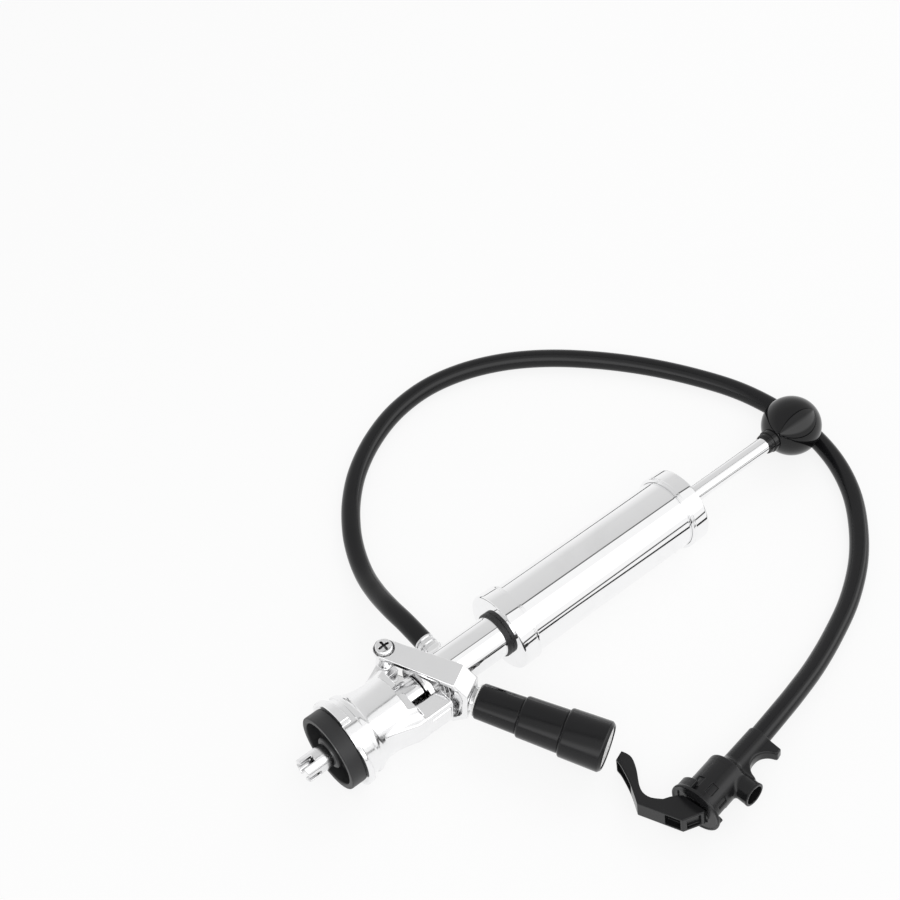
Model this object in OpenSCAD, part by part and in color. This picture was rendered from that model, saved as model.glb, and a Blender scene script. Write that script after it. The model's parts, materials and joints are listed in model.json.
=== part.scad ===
// Keg party pump lying on its side, as it is put down on a table.
// The pump axis runs along X from the keg coupler to the ball knob, Z is up.
// The lever swings level, in the plane of the table, and the hose lies round the pump to its tap.
// Sub-parts are placed along the axis from the front face of the coupler, then centred on the origin.

/* [Coupler] */
// Diameter of the skirt that drops over the keg valve
skirt_d = 43.2; // [42.8:0.1:43.2]
// Length of the skirt behind the coupler face
skirt_len = 11.5; // [10:0.5:14]
// Diameter across the two twist-lock lugs
lug_d = 48.6; // [47:0.1:50.8]
// Thickness of a lug at its wide end
lug_t = 5.4; // [4:0.1:7]
// Sweep of each lug round the skirt, in degrees
lug_sweep = 124; // [90:2:124]
// Diameter at the waist of the casting
waist_d = 36.4; // [35:0.2:39]
// Length of the round casting
casting_len = 38; // [36:0.5:42]
// Bore of the casting behind the front wall
casting_bore_d = 28; // [27.6:0.2:29]
// Outer diameter of the rubber neck ring
neck_ring_d = 42.4; // [40:0.2:43]
// Length of the neck ring in front of the coupler face
neck_ring_len = 8.6; // [6:0.2:11]

/* [Lever] */
// Distance of the lever pivot behind the coupler face
pivot_x = 45; // [43:0.5:48]
// Distance of the lever pivot from the pump axis
pivot_offset = 22; // [21:0.5:24]
// Angle of the raised lever from square to the axis, in degrees
lever_raised = 28; // [22:1:34]
// Angle of the lowered lever past square, in degrees
lever_lowered = 6; // [0:1:8]
// Height over both fork arms
fork_h = 36; // [35:0.5:39]
// Thickness of one fork arm
arm_t = 3.6; // [3:0.1:4.2]
// Width of the fork at the grip end
fork_w = 14; // [12:0.5:16]
// Distance from the pivot to the drive pins
drive_arm = 24; // [22:0.5:26]
// Length of the grip
grip_len = 70; // [60:1:90]
// Diameter of the grip at the fork, over the corners
grip_small_d = 20; // [18:0.5:22]
// Diameter of the middle step of the grip
grip_mid_d = 23.2; // [22:0.2:25]
// Diameter of the outer step of the grip
grip_big_d = 27; // [25:0.5:30]

/* [Probe and stem] */
// Diameter of the probe tip
tip_d = 13; // [12:0.5:14]
// Reach of the probe tip in front of the coupler face
tip_reach = 23.7; // [20:0.1:26]
// Diameter of the beer way through the probe
beer_way_d = 8; // [6:0.5:9]
// Diameter of the stem between coupler and cylinder
stem_d = 23.8; // [22:0.2:25]
// Wall of the stem
stem_wall = 2.4; // [1.5:0.1:3]

/* [Cylinder] */
// Distance of the lower cap behind the coupler face
cylinder_x = 103.8; // [95:0.1:120]
// Length over both caps
cylinder_len = 134.7; // [110:0.1:160]
// Diameter of the cylinder tube
tube_d = 40.7; // [38:0.1:42]
// Wall of the cylinder tube
tube_wall = 1.2; // [0.8:0.1:2]
// Wall of the caps outside the tube
cap_wall = 1.95; // [1.5:0.05:3]
// Length of each cap
cap_len = 11.5; // [9:0.5:14]

/* [Rod and knob] */
// Diameter of the pump rod
rod_d = 9.8; // [9:0.1:11]
// Stroke of the pump
stroke = 64; // [50:1:66]
// Diameter of the ball knob
knob_d = 35; // [32:0.5:36]
// Diameter of the ferrule under the knob
ferrule_d = 13.4; // [12:0.2:16]
// Length of the ferrule
ferrule_len = 7; // [5:0.5:10]

/* [Hose] */
// Outer diameter of the beer hose
hose_d = 11; // [10:0.1:12]
// Distance of the hose outlet behind the coupler face
outlet_x = 70; // [69.5:0.1:71]

/* [Tap] */
// Diameter of the barrel of the tap
barrel_d = 22; // [20:0.5:24]
// Length of the barrel
barrel_len = 26; // [22:0.5:30]
// Diameter of the collar at the lever end
collar_d = 29; // [27:0.5:32]
// Outer diameter of the spout
spout_d = 13; // [12:0.2:14]
// Thickness of the tap lever
tap_lever_t = 11; // [9:0.5:12]

/* [Hidden] */

// Overrun of every cut past the face that it leaves
over = 1;
// Gap between curved faces that move past each other
run_gap = 0.4;
// Gap between a shaft and the bore that it turns or slides in
fit_gap = 0.08;
// Gap between faces that pass without touching
side_gap = 0.3;
// Facets of round shapes
$fn = 64;

// Heights and places along the axis
cap_d = tube_d + 2 * cap_wall;
axis_h = cap_d / 2;
waist_r = waist_d / 2;
waist_x_share = 0.7;
waist_x = waist_x_share * casting_len;
waist_sweep_r = 38;
front_wall_x = 3;
front_wall_t = 3;
lip_w = 3.2;
lip_rise = 0.7;
edge_r = 0.8;
skirt_r = skirt_d / 2;
lug_r = lug_d / 2;
lug_mid_t = 3.6;
lug_slope = 4.8;
// Angles at which the lugs start, clear of the table under the skirt
lug_starts = [64, 206];

// Coupler openings and ears
port_count = 4;
port_turn = 0.2;
port_w = 6;
port_h = 2.4;
web_bore_r = 9.6;
web_rim = 1.4;
gas_rim = 1.8;
seal_nose = 1.2;
seal_wall = 3.2;
cheek_w = 18;
cheek_x = 29;
cheek_end_x = 56;
cheek_y = 21;
cheek_cut = 1.6;
inner_share = 0.25;
ear_d = 9.2;
ear_in = 2.4;
ear_foot_x = 23;
ear_foot_y = 15;
gusset_t = 10;
flat_x = 33.5;
catch_d = 5;
catch_depth = 1.6;

// Lever
fork_half = fork_h / 2;
arm_in = fork_half - arm_t;
fork_in_end = 46;
fork_end = 49.6;
fork_in_r = 8.5;
fork_chamfer = 8;
pivot_end_d = 11.6;
neck_d = 13;
neck_len = 2.2;
washer_d = 17;
washer_t = 0.8;
screw_d = 5;
screw_head_d = 9.4;
screw_head_t = 2.6;
screw_head_r = 0.9;
screw_slot_w = 1.3;
screw_slot_len = 5;
screw_slot_depth = 1.2;
nut_af = 8;
nut_t = 3.2;
pin_d = 6;
shank_d = 4;
pin_reach = 3.4;
latch_d = 5;
latch_back = 1.3;
pull_gap = 0.3;
grip_x = fork_end + neck_len + washer_t + pull_gap;
grip_steps = 3;
grip_sides = 12;
grip_step = grip_len / grip_steps;
grip_d = [grip_small_d, grip_mid_d, grip_big_d];
end_cap_t = 3;
end_cap_rim = 2.2;
end_cap_recess = 0.8;

// Probe, collar and stem
lever_turn = lever_raised + lever_lowered;
drive_x = pivot_x + drive_arm * sin(lever_raised);
drive_slack = 0.7;
groove_w = pin_d + drive_slack;
flange_w = 3.2;
drive_flange_r = arm_in - side_gap - run_gap;
groove_r = arm_in - pin_reach - run_gap;
collar_x0 = drive_x - groove_w / 2 - flange_w;
collar_x1 = drive_x + groove_w / 2 + flange_w;
seal_d = 17.6;
seal_x0 = 8.2;
seal_x1 = 4;
seal_groove_w = 2.4;
seal_groove_depth = 0.9;
probe_d = 17;
ball_d = 9;
seat_x = 22;
seat_len = 3;
ball_room_d = 11;
ball_room_len = 13;
ball_seat_bore = 7;
tip_slot_w = 3.6;
tip_slot_len = 7;
stem_washer_d = 25.8;
stem_washer_t = 3;
boss_d = 13;
boss_y = 13.6;
barb_collar_d = 11.2;
barb_collar_len = 7.4;
nipple_d = 8.2;
nipple_len = 20;
nipple_ridge = 0.35;
barb_bore_d = 4;
nipple_ridges = 4;
hose_bore_d = 8.2;
hose_y = boss_y + barb_collar_len;

// Cylinder
cylinder_end = cylinder_x + cylinder_len;
cap_round = 2.2;
cap_bead = 0.5;
cap_face_t = 4.5;
cap_groove_w = 0.8;
foot_d = 24;
foot_t = 2;
foot_post_d = 4;
air_port_count = 4;
air_port_d = 3;
air_ring_d = 16;
bushing_d = 17;
bushing_rise = 2.4;
bushing_flange_t = 1.6;
tube_in_r = tube_d / 2 - tube_wall;

// Rod, piston and knob
rod_clear = 2;
ferrule_step = 1.75;
ferrule_x = cylinder_end + bushing_rise + stroke + rod_clear - ferrule_step;
knob_x = ferrule_x + ferrule_len + sqrt(pow(knob_d / 2, 2) - pow(ferrule_d / 2, 2));
rod_in_knob = 10;
rod_end_x = ferrule_x + ferrule_len + rod_in_knob;
piston_t = 5;
cup_t = 7;
cup_lip = 1.6;
cup_base = 2.4;
piston_nut_af = 13;
piston_nut_t = 5;
stud_d = 6;
piston_x = cylinder_end - cap_len - rod_clear - piston_t;
cup_x = piston_x - cup_t;
piston_nut_x = cup_x + cup_t - cup_base - piston_nut_t;
rod_start_x = piston_nut_x - edge_r;

// Grip end, furthest out along the lever
grip_end_u = grip_x + grip_len;
grip_low_y = pivot_offset - grip_end_u * cos(lever_raised)
    - (grip_big_d / 2) * sin(lever_raised);
barb_high_y = boss_y + barb_collar_len + nipple_len;
knob_end_x = knob_x + knob_d / 2;

// Middle of the pump's box, which becomes the origin
mid_x = (knob_end_x - tip_reach) / 2;
mid_y = (barb_high_y + grip_low_y) / 2;

// Hose route: points on its centre line from the outlet to the tap, over the table
hose_r = hose_d / 2;
hose_route = [
    [outlet_x, hose_y, axis_h], [70, 36, 22], [70.5, 50, 19], [73, 66, 13], [77, 82, 8],
    [83, 98, 6], [91, 113, 5.6], [103, 129, 5.6], [119, 144, 5.6], [140, 157, 5.6],
    [164, 166, 5.6], [190, 169, 5.6], [216, 165, 5.6], [241, 155, 5.6], [264, 140, 5.6],
    [286, 120, 5.6], [306, 97, 5.6], [323, 72, 5.6], [336, 47, 5.6], [343, 22, 5.6],
    [345, -2, 5.6], [341, -26, 5.6], [331, -48, 5.6], [316, -67, 5.6], [297, -84, 5.6],
    [274, -98, 5.6], [250, -108, 6.5], [226, -116, 9], [204, -121.5, 12], [187, -125, 14],
    [170, -128, 14.5]];
hose_rings = 76;
hose_sides = 12;

// Tap
tap_axis_h = collar_d / 2;
tap_turn = 8;
tap_roll = 10;
inlet_d = 12.6;
inlet_len = 26.5;
shoulder_len = 4;
collar_t = 4.2;
collar_rim = 1.6;
barrel_wall = 1.8;
spout_wall = 1.3;
spout_reach = 18.5;
spout_u = 23.6;
spout_lean = 3;
hook_t = 7;
hook_reach = 13.8;
hook_end_u = 54;
hook_tip_w = 5.5;
finger_d = 17.6;
finger_u = 39;
finger_drop = 1.4;
clip_count = 8;
clip_w = 3.4;
clip_h = 6;
clip_depth = 0.7;
lever_tilt = 20;
cam_d = 14;
cam_facets = 16;
lever_pin_u = cam_d / 2 + side_gap;
lever_pin_d = 3;
lug_plate_t = 1.6;
lug_plate_w = 8;
tap_block_low = 8.5;
tap_block_high = 9.5;
tap_block_back = 2;
tap_block_len = 9.5;
arm_root_w = 9;
arm_tip_w = 7.6;
arm_u = 19;
arm_start_v = 15;
arm_sweep_r = 62;
arm_sweep = 27;
arm_steps = 8;
plunger_d = 4.2;
plunger_gap = 0.4;
plunger_reach = 15;
valve_d = 14;
valve_t = 3;
tap_seal_t = 2.5;

// Outline of a ring profile is a list of [radius, place along the axis]
function arc(c, r, a0, a1, n) = [for (i = [0:n])
    c + r * [cos(a0 + (a1 - a0) * i / n), sin(a0 + (a1 - a0) * i / n)]];

// Radius of the waisted casting at a place along the axis
function waist_at(x) = waist_r + waist_sweep_r
    - sqrt(pow(waist_sweep_r, 2) - pow(x - waist_x, 2));

// Point on a smooth curve through a list, at t counted in points
function curve_at(p, t) =
    let (n = len(p) - 1, i = min(floor(t), n - 1), s = t - i,
        a = p[max(i - 1, 0)], b = p[i], c = p[i + 1], d = p[min(i + 2, n)])
    0.5 * ((2 * b) + (c - a) * s + (2 * a - 5 * b + 4 * c - d) * s * s
        + (3 * b - a - 3 * c + d) * s * s * s);
function unit(v) = v / norm(v);

// Puts the pump over the origin
module place() {
    translate([-mid_x, -mid_y, 0]) children();
}

// Stands children, drawn upright, along the pump axis
module on_axis(x = 0) {
    place() translate([x, 0, axis_h]) rotate([0, 90, 0]) children();
}

// Puts children, drawn along X, on the lever
module on_lever() {
    place() translate([pivot_x, pivot_offset, axis_h]) rotate([0, 0, lever_raised - 90]) children();
}

// Puts children, drawn along X from the collar face to the inlet, on the tap
module on_tap() {
    last = hose_route[len(hose_route) - 1];
    place() translate([last[0], last[1], tap_axis_h])
        rotate([0, 0, tap_turn]) rotate([-tap_roll, 0, 0])
            translate([-barrel_len - inlet_len, 0, 0]) children();
}

// Upright ring between two diameters
module ring(d_out, d_in, h) {
    difference() {
        cylinder(d = d_out, h = h);
        translate([0, 0, -over]) cylinder(d = d_in, h = h + 2 * over);
    }
}

// Upright disc with rounded rims
module round_disc(d, h, r) {
    rotate_extrude() polygon(concat([[0, 0]],
        arc([d / 2 - r, r], r, -90, 0, 6),
        arc([d / 2 - r, h - r], r, 0, 90, 6),
        [[0, h]]));
}

// Six-sided bar of a width over the flats
module hex_bar(af, h) {
    cylinder(d = af / cos(30), h = h, $fn = 6);
}

// Twist-lock lug: part of a ring whose rear face slopes, as a cam does
module lug(start) {
    root = 2 * edge_r;
    rotate([0, 0, start]) difference() {
        rotate_extrude(angle = lug_sweep) translate([skirt_r - root, 0])
            square([lug_r - skirt_r + root, lug_t]);
        rotate([0, 0, lug_sweep / 2]) translate([0, 0, lug_mid_t]) rotate([lug_slope, 0, 0])
            translate([-cap_d, -cap_d, 0]) cube([2 * cap_d, 2 * cap_d, cap_d]);
    }
}

// Cast coupler: skirt with lugs, waist, pivot ear and guide cheek
module coupler_body() {
    waist_steps = 12;
    waist_len = casting_len - edge_r - skirt_len;
    color("gainsboro") difference() {
        union() {
            on_axis() {
                rotate_extrude() polygon(concat(
                    [[0, 0], [skirt_r - edge_r, 0], [skirt_r, edge_r],
                     [skirt_r, skirt_len - lip_w],
                     [skirt_r + lip_rise, skirt_len - lip_w + lip_rise],
                     [skirt_r + lip_rise, skirt_len - lip_rise],
                     [skirt_r, skirt_len]],
                    [for (i = [0:waist_steps])
                        let (x = skirt_len + waist_len * i / waist_steps)
                        [waist_at(x), x]],
                    [[waist_at(casting_len) - edge_r, casting_len], [0, casting_len]]));
                for (start = lug_starts) lug(start);
            }
            place() translate([0, 0, axis_h]) {
                guide_cheek();
                pivot_ear();
            }
        }
        on_axis() coupler_hollow();
        lever_flats();
        place() translate([pivot_x, pivot_offset, -over])
            cylinder(d = screw_d + 2 * fit_gap, h = 2 * axis_h + 2 * over);
        on_lever() rotate([0, 0, -lever_turn])
            translate([fork_in_end - latch_back - catch_depth, 0, 0]) rotate([0, 90, 0])
                cylinder(d = catch_d + 2 * fit_gap, h = over + catch_depth);
    }
}

// Guide cheek on the handle side, with rounded outer edges
module guide_cheek() {
    translate([cheek_x, -cheek_y, -cheek_w / 2]) {
        difference() {
            cube([cheek_end_x - cheek_x, cheek_y - inner_share * casting_bore_d, cheek_w]);
            for (side = [0, 1]) translate([0, 0, side * cheek_w])
                rotate([45, 0, 0])
                    translate([-over, -cheek_cut, -cheek_cut])
                        cube([casting_len + 2 * over, 2 * cheek_cut, 2 * cheek_cut]);
        }
    }
}

// Ear with the pivot boss, braced by a gusset
module pivot_ear() {
    translate([pivot_x, pivot_offset, -arm_in]) cylinder(d = ear_d, h = 2 * arm_in);
    translate([0, 0, -gusset_t / 2]) linear_extrude(gusset_t) polygon([
        [ear_foot_x, ear_foot_y], [pivot_x - ear_in, pivot_offset + ear_in],
        [pivot_x + ear_in, pivot_offset], [pivot_x + ear_in, inner_share * casting_bore_d],
        [ear_foot_x, inner_share * casting_bore_d]]);
}

// Bore of the casting, its front wall with gas ports and the seat of the neck ring
module coupler_hollow() {
    inner_r = seal_d / 2 + run_gap;
    translate([0, 0, front_wall_x + front_wall_t]) cylinder(d = casting_bore_d, h = pivot_x + casting_len);
    translate([0, 0, -over]) cylinder(r = inner_r, h = casting_len);
    translate([0, 0, -over]) cylinder(d = neck_ring_d - 2 * gas_rim, h = front_wall_x + over);
    gas_ports(web_bore_r + web_rim);
}

// Flats above and below, where the fork arms swing
module lever_flats() {
    place() translate([0, 0, axis_h]) for (side = [0, 1]) mirror([0, 0, side])
        translate([flat_x, -cap_d, arm_in - side_gap]) cube([cap_d, 2 * cap_d, cap_d]);
}

// Rubber ring that seals on the keg neck, with a tapered nose and a floor open at the gas ports
module neck_seal() {
    r = neck_ring_d / 2;
    foot_r = r - gas_rim - fit_gap;
    color("dimgray") on_axis() difference() {
        union() {
            rotate_extrude() polygon([
                [foot_r - seal_wall, front_wall_x - fit_gap], [foot_r, front_wall_x - fit_gap],
                [foot_r, -fit_gap], [r, -fit_gap],
                [r, seal_nose - neck_ring_len], [r - seal_nose, -neck_ring_len],
                [r - seal_wall, -neck_ring_len], [r - seal_wall, -seal_nose]]);
            ring(2 * foot_r, 2 * web_bore_r, front_wall_x - fit_gap);
        }
        gas_ports(web_bore_r + web_rim);
    }
}

// Cutters of the gas ports, from a radius outwards
module gas_ports(start_r) {
    for (i = [0:port_count - 1]) rotate([0, 0, 360 * (i + port_turn) / port_count])
        translate([start_r, -port_w / 2, -over])
            cube([port_h, port_w, front_wall_x + front_wall_t + 2 * over]);
}

// Cross-slot pan-head screw that carries the lever
module pivot_screw() {
    length = fork_half + screw_head_t;
    color("silver") place() translate([pivot_x, pivot_offset, axis_h]) difference() {
        union() {
            translate([0, 0, -fork_half - nut_t]) cylinder(d = screw_d, h = 2 * fork_half + nut_t + edge_r);
            translate([0, 0, fork_half]) round_disc(screw_head_d, screw_head_t, screw_head_r);
        }
        for (turn = [0, 90]) rotate([0, 0, turn])
            translate([-screw_slot_len / 2, -screw_slot_w / 2, length - screw_slot_depth])
                cube([screw_slot_len, screw_slot_w, screw_slot_depth + over]);
    }
}

// Nut under the lower arm
module pivot_nut() {
    color("silver") place() translate([pivot_x, pivot_offset, axis_h - fork_half - nut_t])
        difference() {
            hex_bar(nut_af, nut_t);
            translate([0, 0, -over]) cylinder(d = screw_d + 2 * fit_gap, h = nut_t + 2 * over);
        }
}

// Side outline of the fork: a U with round inner corners and cut outer corners
module fork_side() {
    back = pivot_end_d / 2;
    difference() {
        polygon([[-back, -fork_half], [fork_end - fork_chamfer, -fork_half],
            [fork_end, -fork_half + fork_chamfer], [fork_end, fork_half - fork_chamfer],
            [fork_end - fork_chamfer, fork_half], [-back, fork_half]]);
        polygon(concat([[-back - over, -arm_in]],
            arc([fork_in_end - fork_in_r, fork_in_r - arm_in], fork_in_r, -90, 0, 8),
            arc([fork_in_end - fork_in_r, arm_in - fork_in_r], fork_in_r, 0, 90, 8),
            [[-back - over, arm_in]]));
    }
}

// Plan outline of the fork: round at the pivot and wider at the grip
module fork_plan() {
    circle(d = pivot_end_d);
    polygon([[0, -pivot_end_d / 2], [fork_end - fork_chamfer, -fork_w / 2], [fork_end, -fork_w / 2],
        [fork_end, fork_w / 2], [fork_end - fork_chamfer, fork_w / 2], [0, pivot_end_d / 2]]);
}

// Lever fork: two arms joined by a bridge, with the neck for the grip
module lever_fork() {
    color("gainsboro") on_lever() difference() {
        union() {
            intersection() {
                rotate([90, 0, 0]) linear_extrude(fork_w + over, center = true) fork_side();
                linear_extrude(fork_h, center = true) fork_plan();
            }
            translate([fork_end, 0, 0]) rotate([0, 90, 0]) cylinder(d = neck_d, h = neck_len);
        }
        translate([0, 0, -fork_h]) cylinder(d = screw_d + 2 * fit_gap, h = 2 * fork_h);
        translate([drive_arm, 0, -fork_h]) cylinder(d = shank_d, h = 2 * fork_h);
        translate([fork_in_end - over, 0, 0]) rotate([0, 90, 0])
            cylinder(d = latch_d + 2 * fit_gap, h = fork_end + neck_len);
    }
}

// Drive pin: a roller face inside the arm on a riveted shank
module drive_pin() {
    translate([drive_arm, 0, arm_in - pin_reach]) {
        cylinder(d = pin_d, h = pin_reach);
        cylinder(d = shank_d - 2 * fit_gap, h = pin_reach + arm_t);
    }
}

module drive_pin_top() {
    color("silver") on_lever() drive_pin();
}

module drive_pin_bottom() {
    color("silver") on_lever() mirror([0, 0, 1]) drive_pin();
}

// Thin washer between the neck and the grip
module grip_washer() {
    color("white") on_lever() translate([fork_end + neck_len, 0, 0]) rotate([0, 90, 0])
        ring(washer_d, latch_d + 2 * fit_gap, washer_t);
}

// Rod through the grip and the neck, whose tip catches on the cheek
module latch_rod() {
    tip = fork_in_end - latch_back;
    color("silver") on_lever() translate([tip, 0, 0]) rotate([0, 90, 0])
        cylinder(d = latch_d, h = grip_x + grip_len - end_cap_t - tip);
}

// Black grip in three steps, each twelve-sided
module grip() {
    color("dimgray") on_lever() translate([grip_x, 0, 0]) rotate([0, 90, 0]) difference() {
        for (i = [0:grip_steps - 1]) translate([0, 0, i * grip_step])
            cylinder(d = grip_d[i], h = grip_len - i * grip_step, $fn = grip_sides);
        translate([0, 0, -over]) cylinder(d = latch_d + 2 * fit_gap, h = grip_len + 2 * over);
        translate([0, 0, grip_len - end_cap_t]) cylinder(d = grip_big_d - 2 * end_cap_rim, h = end_cap_t + over);
    }
}

// White disc in the end of the grip
module grip_end_cap() {
    color("white") on_lever() translate([grip_x + grip_len - end_cap_t, 0, 0]) rotate([0, 90, 0])
        round_disc(grip_big_d - 2 * end_cap_rim - 2 * fit_gap, end_cap_t - end_cap_recess, edge_r / 2);
}

// Hollow probe: slotted tip, shaft and the room of the check ball
module probe_tube() {
    color("silver") on_axis() difference() {
        union() {
            translate([0, 0, -tip_reach]) cylinder(d = tip_d, h = tip_reach + seal_x1 + edge_r);
            translate([0, 0, seal_x1]) cylinder(d = probe_d, h = collar_x0 - seal_x1);
        }
        translate([0, 0, -tip_reach - over]) cylinder(d = beer_way_d, h = tip_reach + collar_x0 + 2 * over);
        translate([0, 0, seat_x]) cylinder(d = ball_room_d, h = seat_len + ball_room_len);
        for (turn = [0, 90]) rotate([0, 0, turn])
            translate([-tip_d, -tip_slot_w / 2, -tip_reach - over])
                cube([2 * tip_d, tip_slot_w, tip_slot_len + over]);
    }
}

// Rubber seal on the probe behind its tip, with a groove round it
module probe_seal() {
    seal_len = seal_x0 + seal_x1;
    color("dimgray") on_axis(-seal_x0) difference() {
        ring(seal_d, tip_d + 2 * fit_gap, seal_len - fit_gap);
        translate([0, 0, seal_len / 2]) difference() {
            cylinder(d = seal_d + over, h = seal_groove_w);
            translate([0, 0, -over]) cylinder(d = seal_d - 2 * seal_groove_depth, h = seal_groove_w + 2 * over);
        }
    }
}

// Seat ring of the check ball
module ball_seat() {
    color("dimgray") on_axis(seat_x) ring(ball_room_d - 2 * fit_gap, ball_seat_bore, seat_len);
}

// Check ball, resting just off its seat
module check_ball() {
    rise = sqrt(pow(ball_d / 2, 2) - pow(ball_seat_bore / 2, 2));
    color("silver") on_axis(seat_x + seat_len + rise + side_gap) sphere(d = ball_d);
}

// Spool on the probe in whose groove the drive pins run
module drive_collar() {
    color("gainsboro") on_axis(collar_x0) difference() {
        union() {
            cylinder(r = groove_r, h = collar_x1 - collar_x0);
            round_disc(2 * drive_flange_r, flange_w, edge_r / 2);
            translate([0, 0, flange_w + groove_w]) round_disc(2 * drive_flange_r, flange_w, edge_r / 2);
        }
        translate([0, 0, -over]) cylinder(d = beer_way_d, h = collar_x1 - collar_x0 + 2 * over);
    }
}

// Chrome stem with the flat boss of the hose outlet
module stem_tube() {
    start = collar_x1;
    length = cylinder_x + cap_face_t - start;
    color("gainsboro") difference() {
        union() {
            on_axis(start) cylinder(d = stem_d, h = length);
            place() translate([outlet_x, 0, axis_h]) rotate([-90, 0, 0]) cylinder(d = boss_d, h = boss_y);
        }
        on_axis(start - over) cylinder(d = stem_d - 2 * stem_wall, h = length + 2 * over);
        place() translate([outlet_x, 0, axis_h]) rotate([-90, 0, 0])
            cylinder(d = nipple_d, h = boss_y + over);
    }
}

// Black washer against the lower cap
module stem_washer() {
    color("dimgray") on_axis(cylinder_x - stem_washer_t)
        ring(stem_washer_d, stem_d + 2 * fit_gap, stem_washer_t);
}

// Outlet fitting: collar against the boss and a ridged nipple inside the hose
module hose_barb() {
    pitch = nipple_len / nipple_ridges;
    root_d = nipple_d - 2 * fit_gap;
    color("silver") place() translate([outlet_x, 0, axis_h]) rotate([-90, 0, 0]) difference() {
        union() {
            translate([0, 0, boss_y - stem_wall]) cylinder(d = root_d, h = stem_wall + edge_r);
            translate([0, 0, boss_y]) round_disc(barb_collar_d, barb_collar_len, edge_r);
            for (i = [0:nipple_ridges - 1]) translate([0, 0, hose_y + i * pitch])
                cylinder(d1 = root_d - 2 * fit_gap, d2 = root_d - 2 * nipple_ridge, h = pitch);
        }
        translate([0, 0, boss_y - stem_wall - over])
            cylinder(d = barb_bore_d, h = stem_wall + barb_collar_len + nipple_len + 2 * over);
    }
}

// Cylinder cap: rounded face, bead and groove at the tube, seat for the tube
module cylinder_cap(hole_d) {
    difference() {
        union() {
            round_disc(cap_d, cap_len - cap_groove_w, cap_round);
            cylinder(d = cap_d - 2 * cap_bead, h = cap_len);
        }
        translate([0, 0, cap_face_t]) cylinder(d = tube_d + 2 * fit_gap, h = cap_len);
        translate([0, 0, -over]) cylinder(d = hole_d, h = cap_len);
    }
}

// Lower cap, screwed on the stem
module bottom_cap() {
    color("gainsboro") on_axis(cylinder_x) cylinder_cap(stem_d + 2 * fit_gap);
}

// Rubber flap over the air ports at the foot of the cylinder, on its carrier
module foot_valve() {
    color("dimgray") on_axis(cylinder_x + cap_face_t) {
        difference() {
            cylinder(d = foot_d, h = foot_t);
            for (i = [0:air_port_count - 1]) rotate([0, 0, 360 * i / air_port_count])
                translate([air_ring_d / 2, 0, -over]) cylinder(d = air_port_d, h = foot_t + 2 * over);
        }
        cylinder(d = foot_post_d, h = 2 * foot_t);
        translate([0, 0, foot_t + side_gap]) cylinder(d = air_ring_d + 2 * air_port_d, h = edge_r);
    }
}

// Drawn tube of the pump
module cylinder_tube() {
    color("gainsboro") on_axis(cylinder_x + cap_face_t)
        ring(tube_d, tube_d - 2 * tube_wall, cylinder_len - 2 * cap_face_t);
}

// Upper cap, with the bushing of the rod
module top_cap() {
    color("gainsboro") on_axis(cylinder_end) mirror([0, 0, 1]) cylinder_cap(bushing_d - 2 * bushing_flange_t);
}

// Gland in the upper cap that guides the rod
module rod_bushing() {
    neck_r = bushing_d / 2 - bushing_flange_t - fit_gap;
    color("silver") on_axis(cylinder_end - cap_face_t) difference() {
        union() {
            cylinder(r = neck_r, h = cap_face_t + edge_r);
            translate([0, 0, cap_face_t]) round_disc(bushing_d, bushing_rise, edge_r);
        }
        translate([0, 0, -over]) cylinder(d = rod_d + 2 * fit_gap, h = cap_face_t + bushing_rise + 2 * over);
    }
}

// Pump rod, with the stud that holds piston and nut
module piston_rod() {
    color("gainsboro") on_axis() {
        translate([0, 0, rod_start_x]) cylinder(d = stud_d, h = piston_x + piston_t - rod_start_x);
        translate([0, 0, piston_x + piston_t]) cylinder(d = rod_d, h = rod_end_x - piston_x - piston_t);
    }
}

// Piston disc behind the cup
module piston() {
    color("silver") on_axis(piston_x)
        ring(2 * (tube_in_r - side_gap - fit_gap), stud_d + 2 * fit_gap, piston_t);
}

// Leather-shaped rubber cup, open towards the foot of the cylinder
module piston_cup() {
    cup_r = tube_in_r - fit_gap;
    color("dimgray") on_axis(cup_x) difference() {
        cylinder(r = cup_r, h = cup_t);
        translate([0, 0, -over]) cylinder(r = cup_r - cup_lip, h = cup_t - cup_base + over);
        translate([0, 0, -over]) cylinder(d = stud_d + 2 * fit_gap, h = cup_t + 2 * over);
    }
}

// Nut that clamps the cup
module piston_nut() {
    color("silver") on_axis(piston_nut_x) difference() {
        hex_bar(piston_nut_af, piston_nut_t);
        translate([0, 0, -over]) cylinder(d = stud_d + 2 * fit_gap, h = piston_nut_t + 2 * over);
    }
}

// Stepped ferrule between rod and knob
module knob_ferrule() {
    r = ferrule_d / 2;
    hole_r = rod_d / 2 + fit_gap;
    rim = hole_r + edge_r;
    color("dimgray") on_axis(ferrule_x) rotate_extrude() polygon([
        [hole_r, 0], [rim, 0], [rim + edge_r / 2, ferrule_step], [r - edge_r, ferrule_step],
        [r - edge_r, 2 * ferrule_step], [r, 2 * ferrule_step], [r, ferrule_len], [hole_r, ferrule_len]]);
}

// Ball knob, flat where it meets the ferrule and bored for the rod
module ball_knob() {
    color("dimgray") on_axis() difference() {
        translate([0, 0, knob_x]) sphere(d = knob_d, $fn = 96);
        translate([0, 0, ferrule_x]) cylinder(d = knob_d, h = ferrule_len);
        translate([0, 0, ferrule_x]) cylinder(d = rod_d + 2 * fit_gap, h = rod_end_x - ferrule_x + fit_gap);
    }
}

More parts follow.
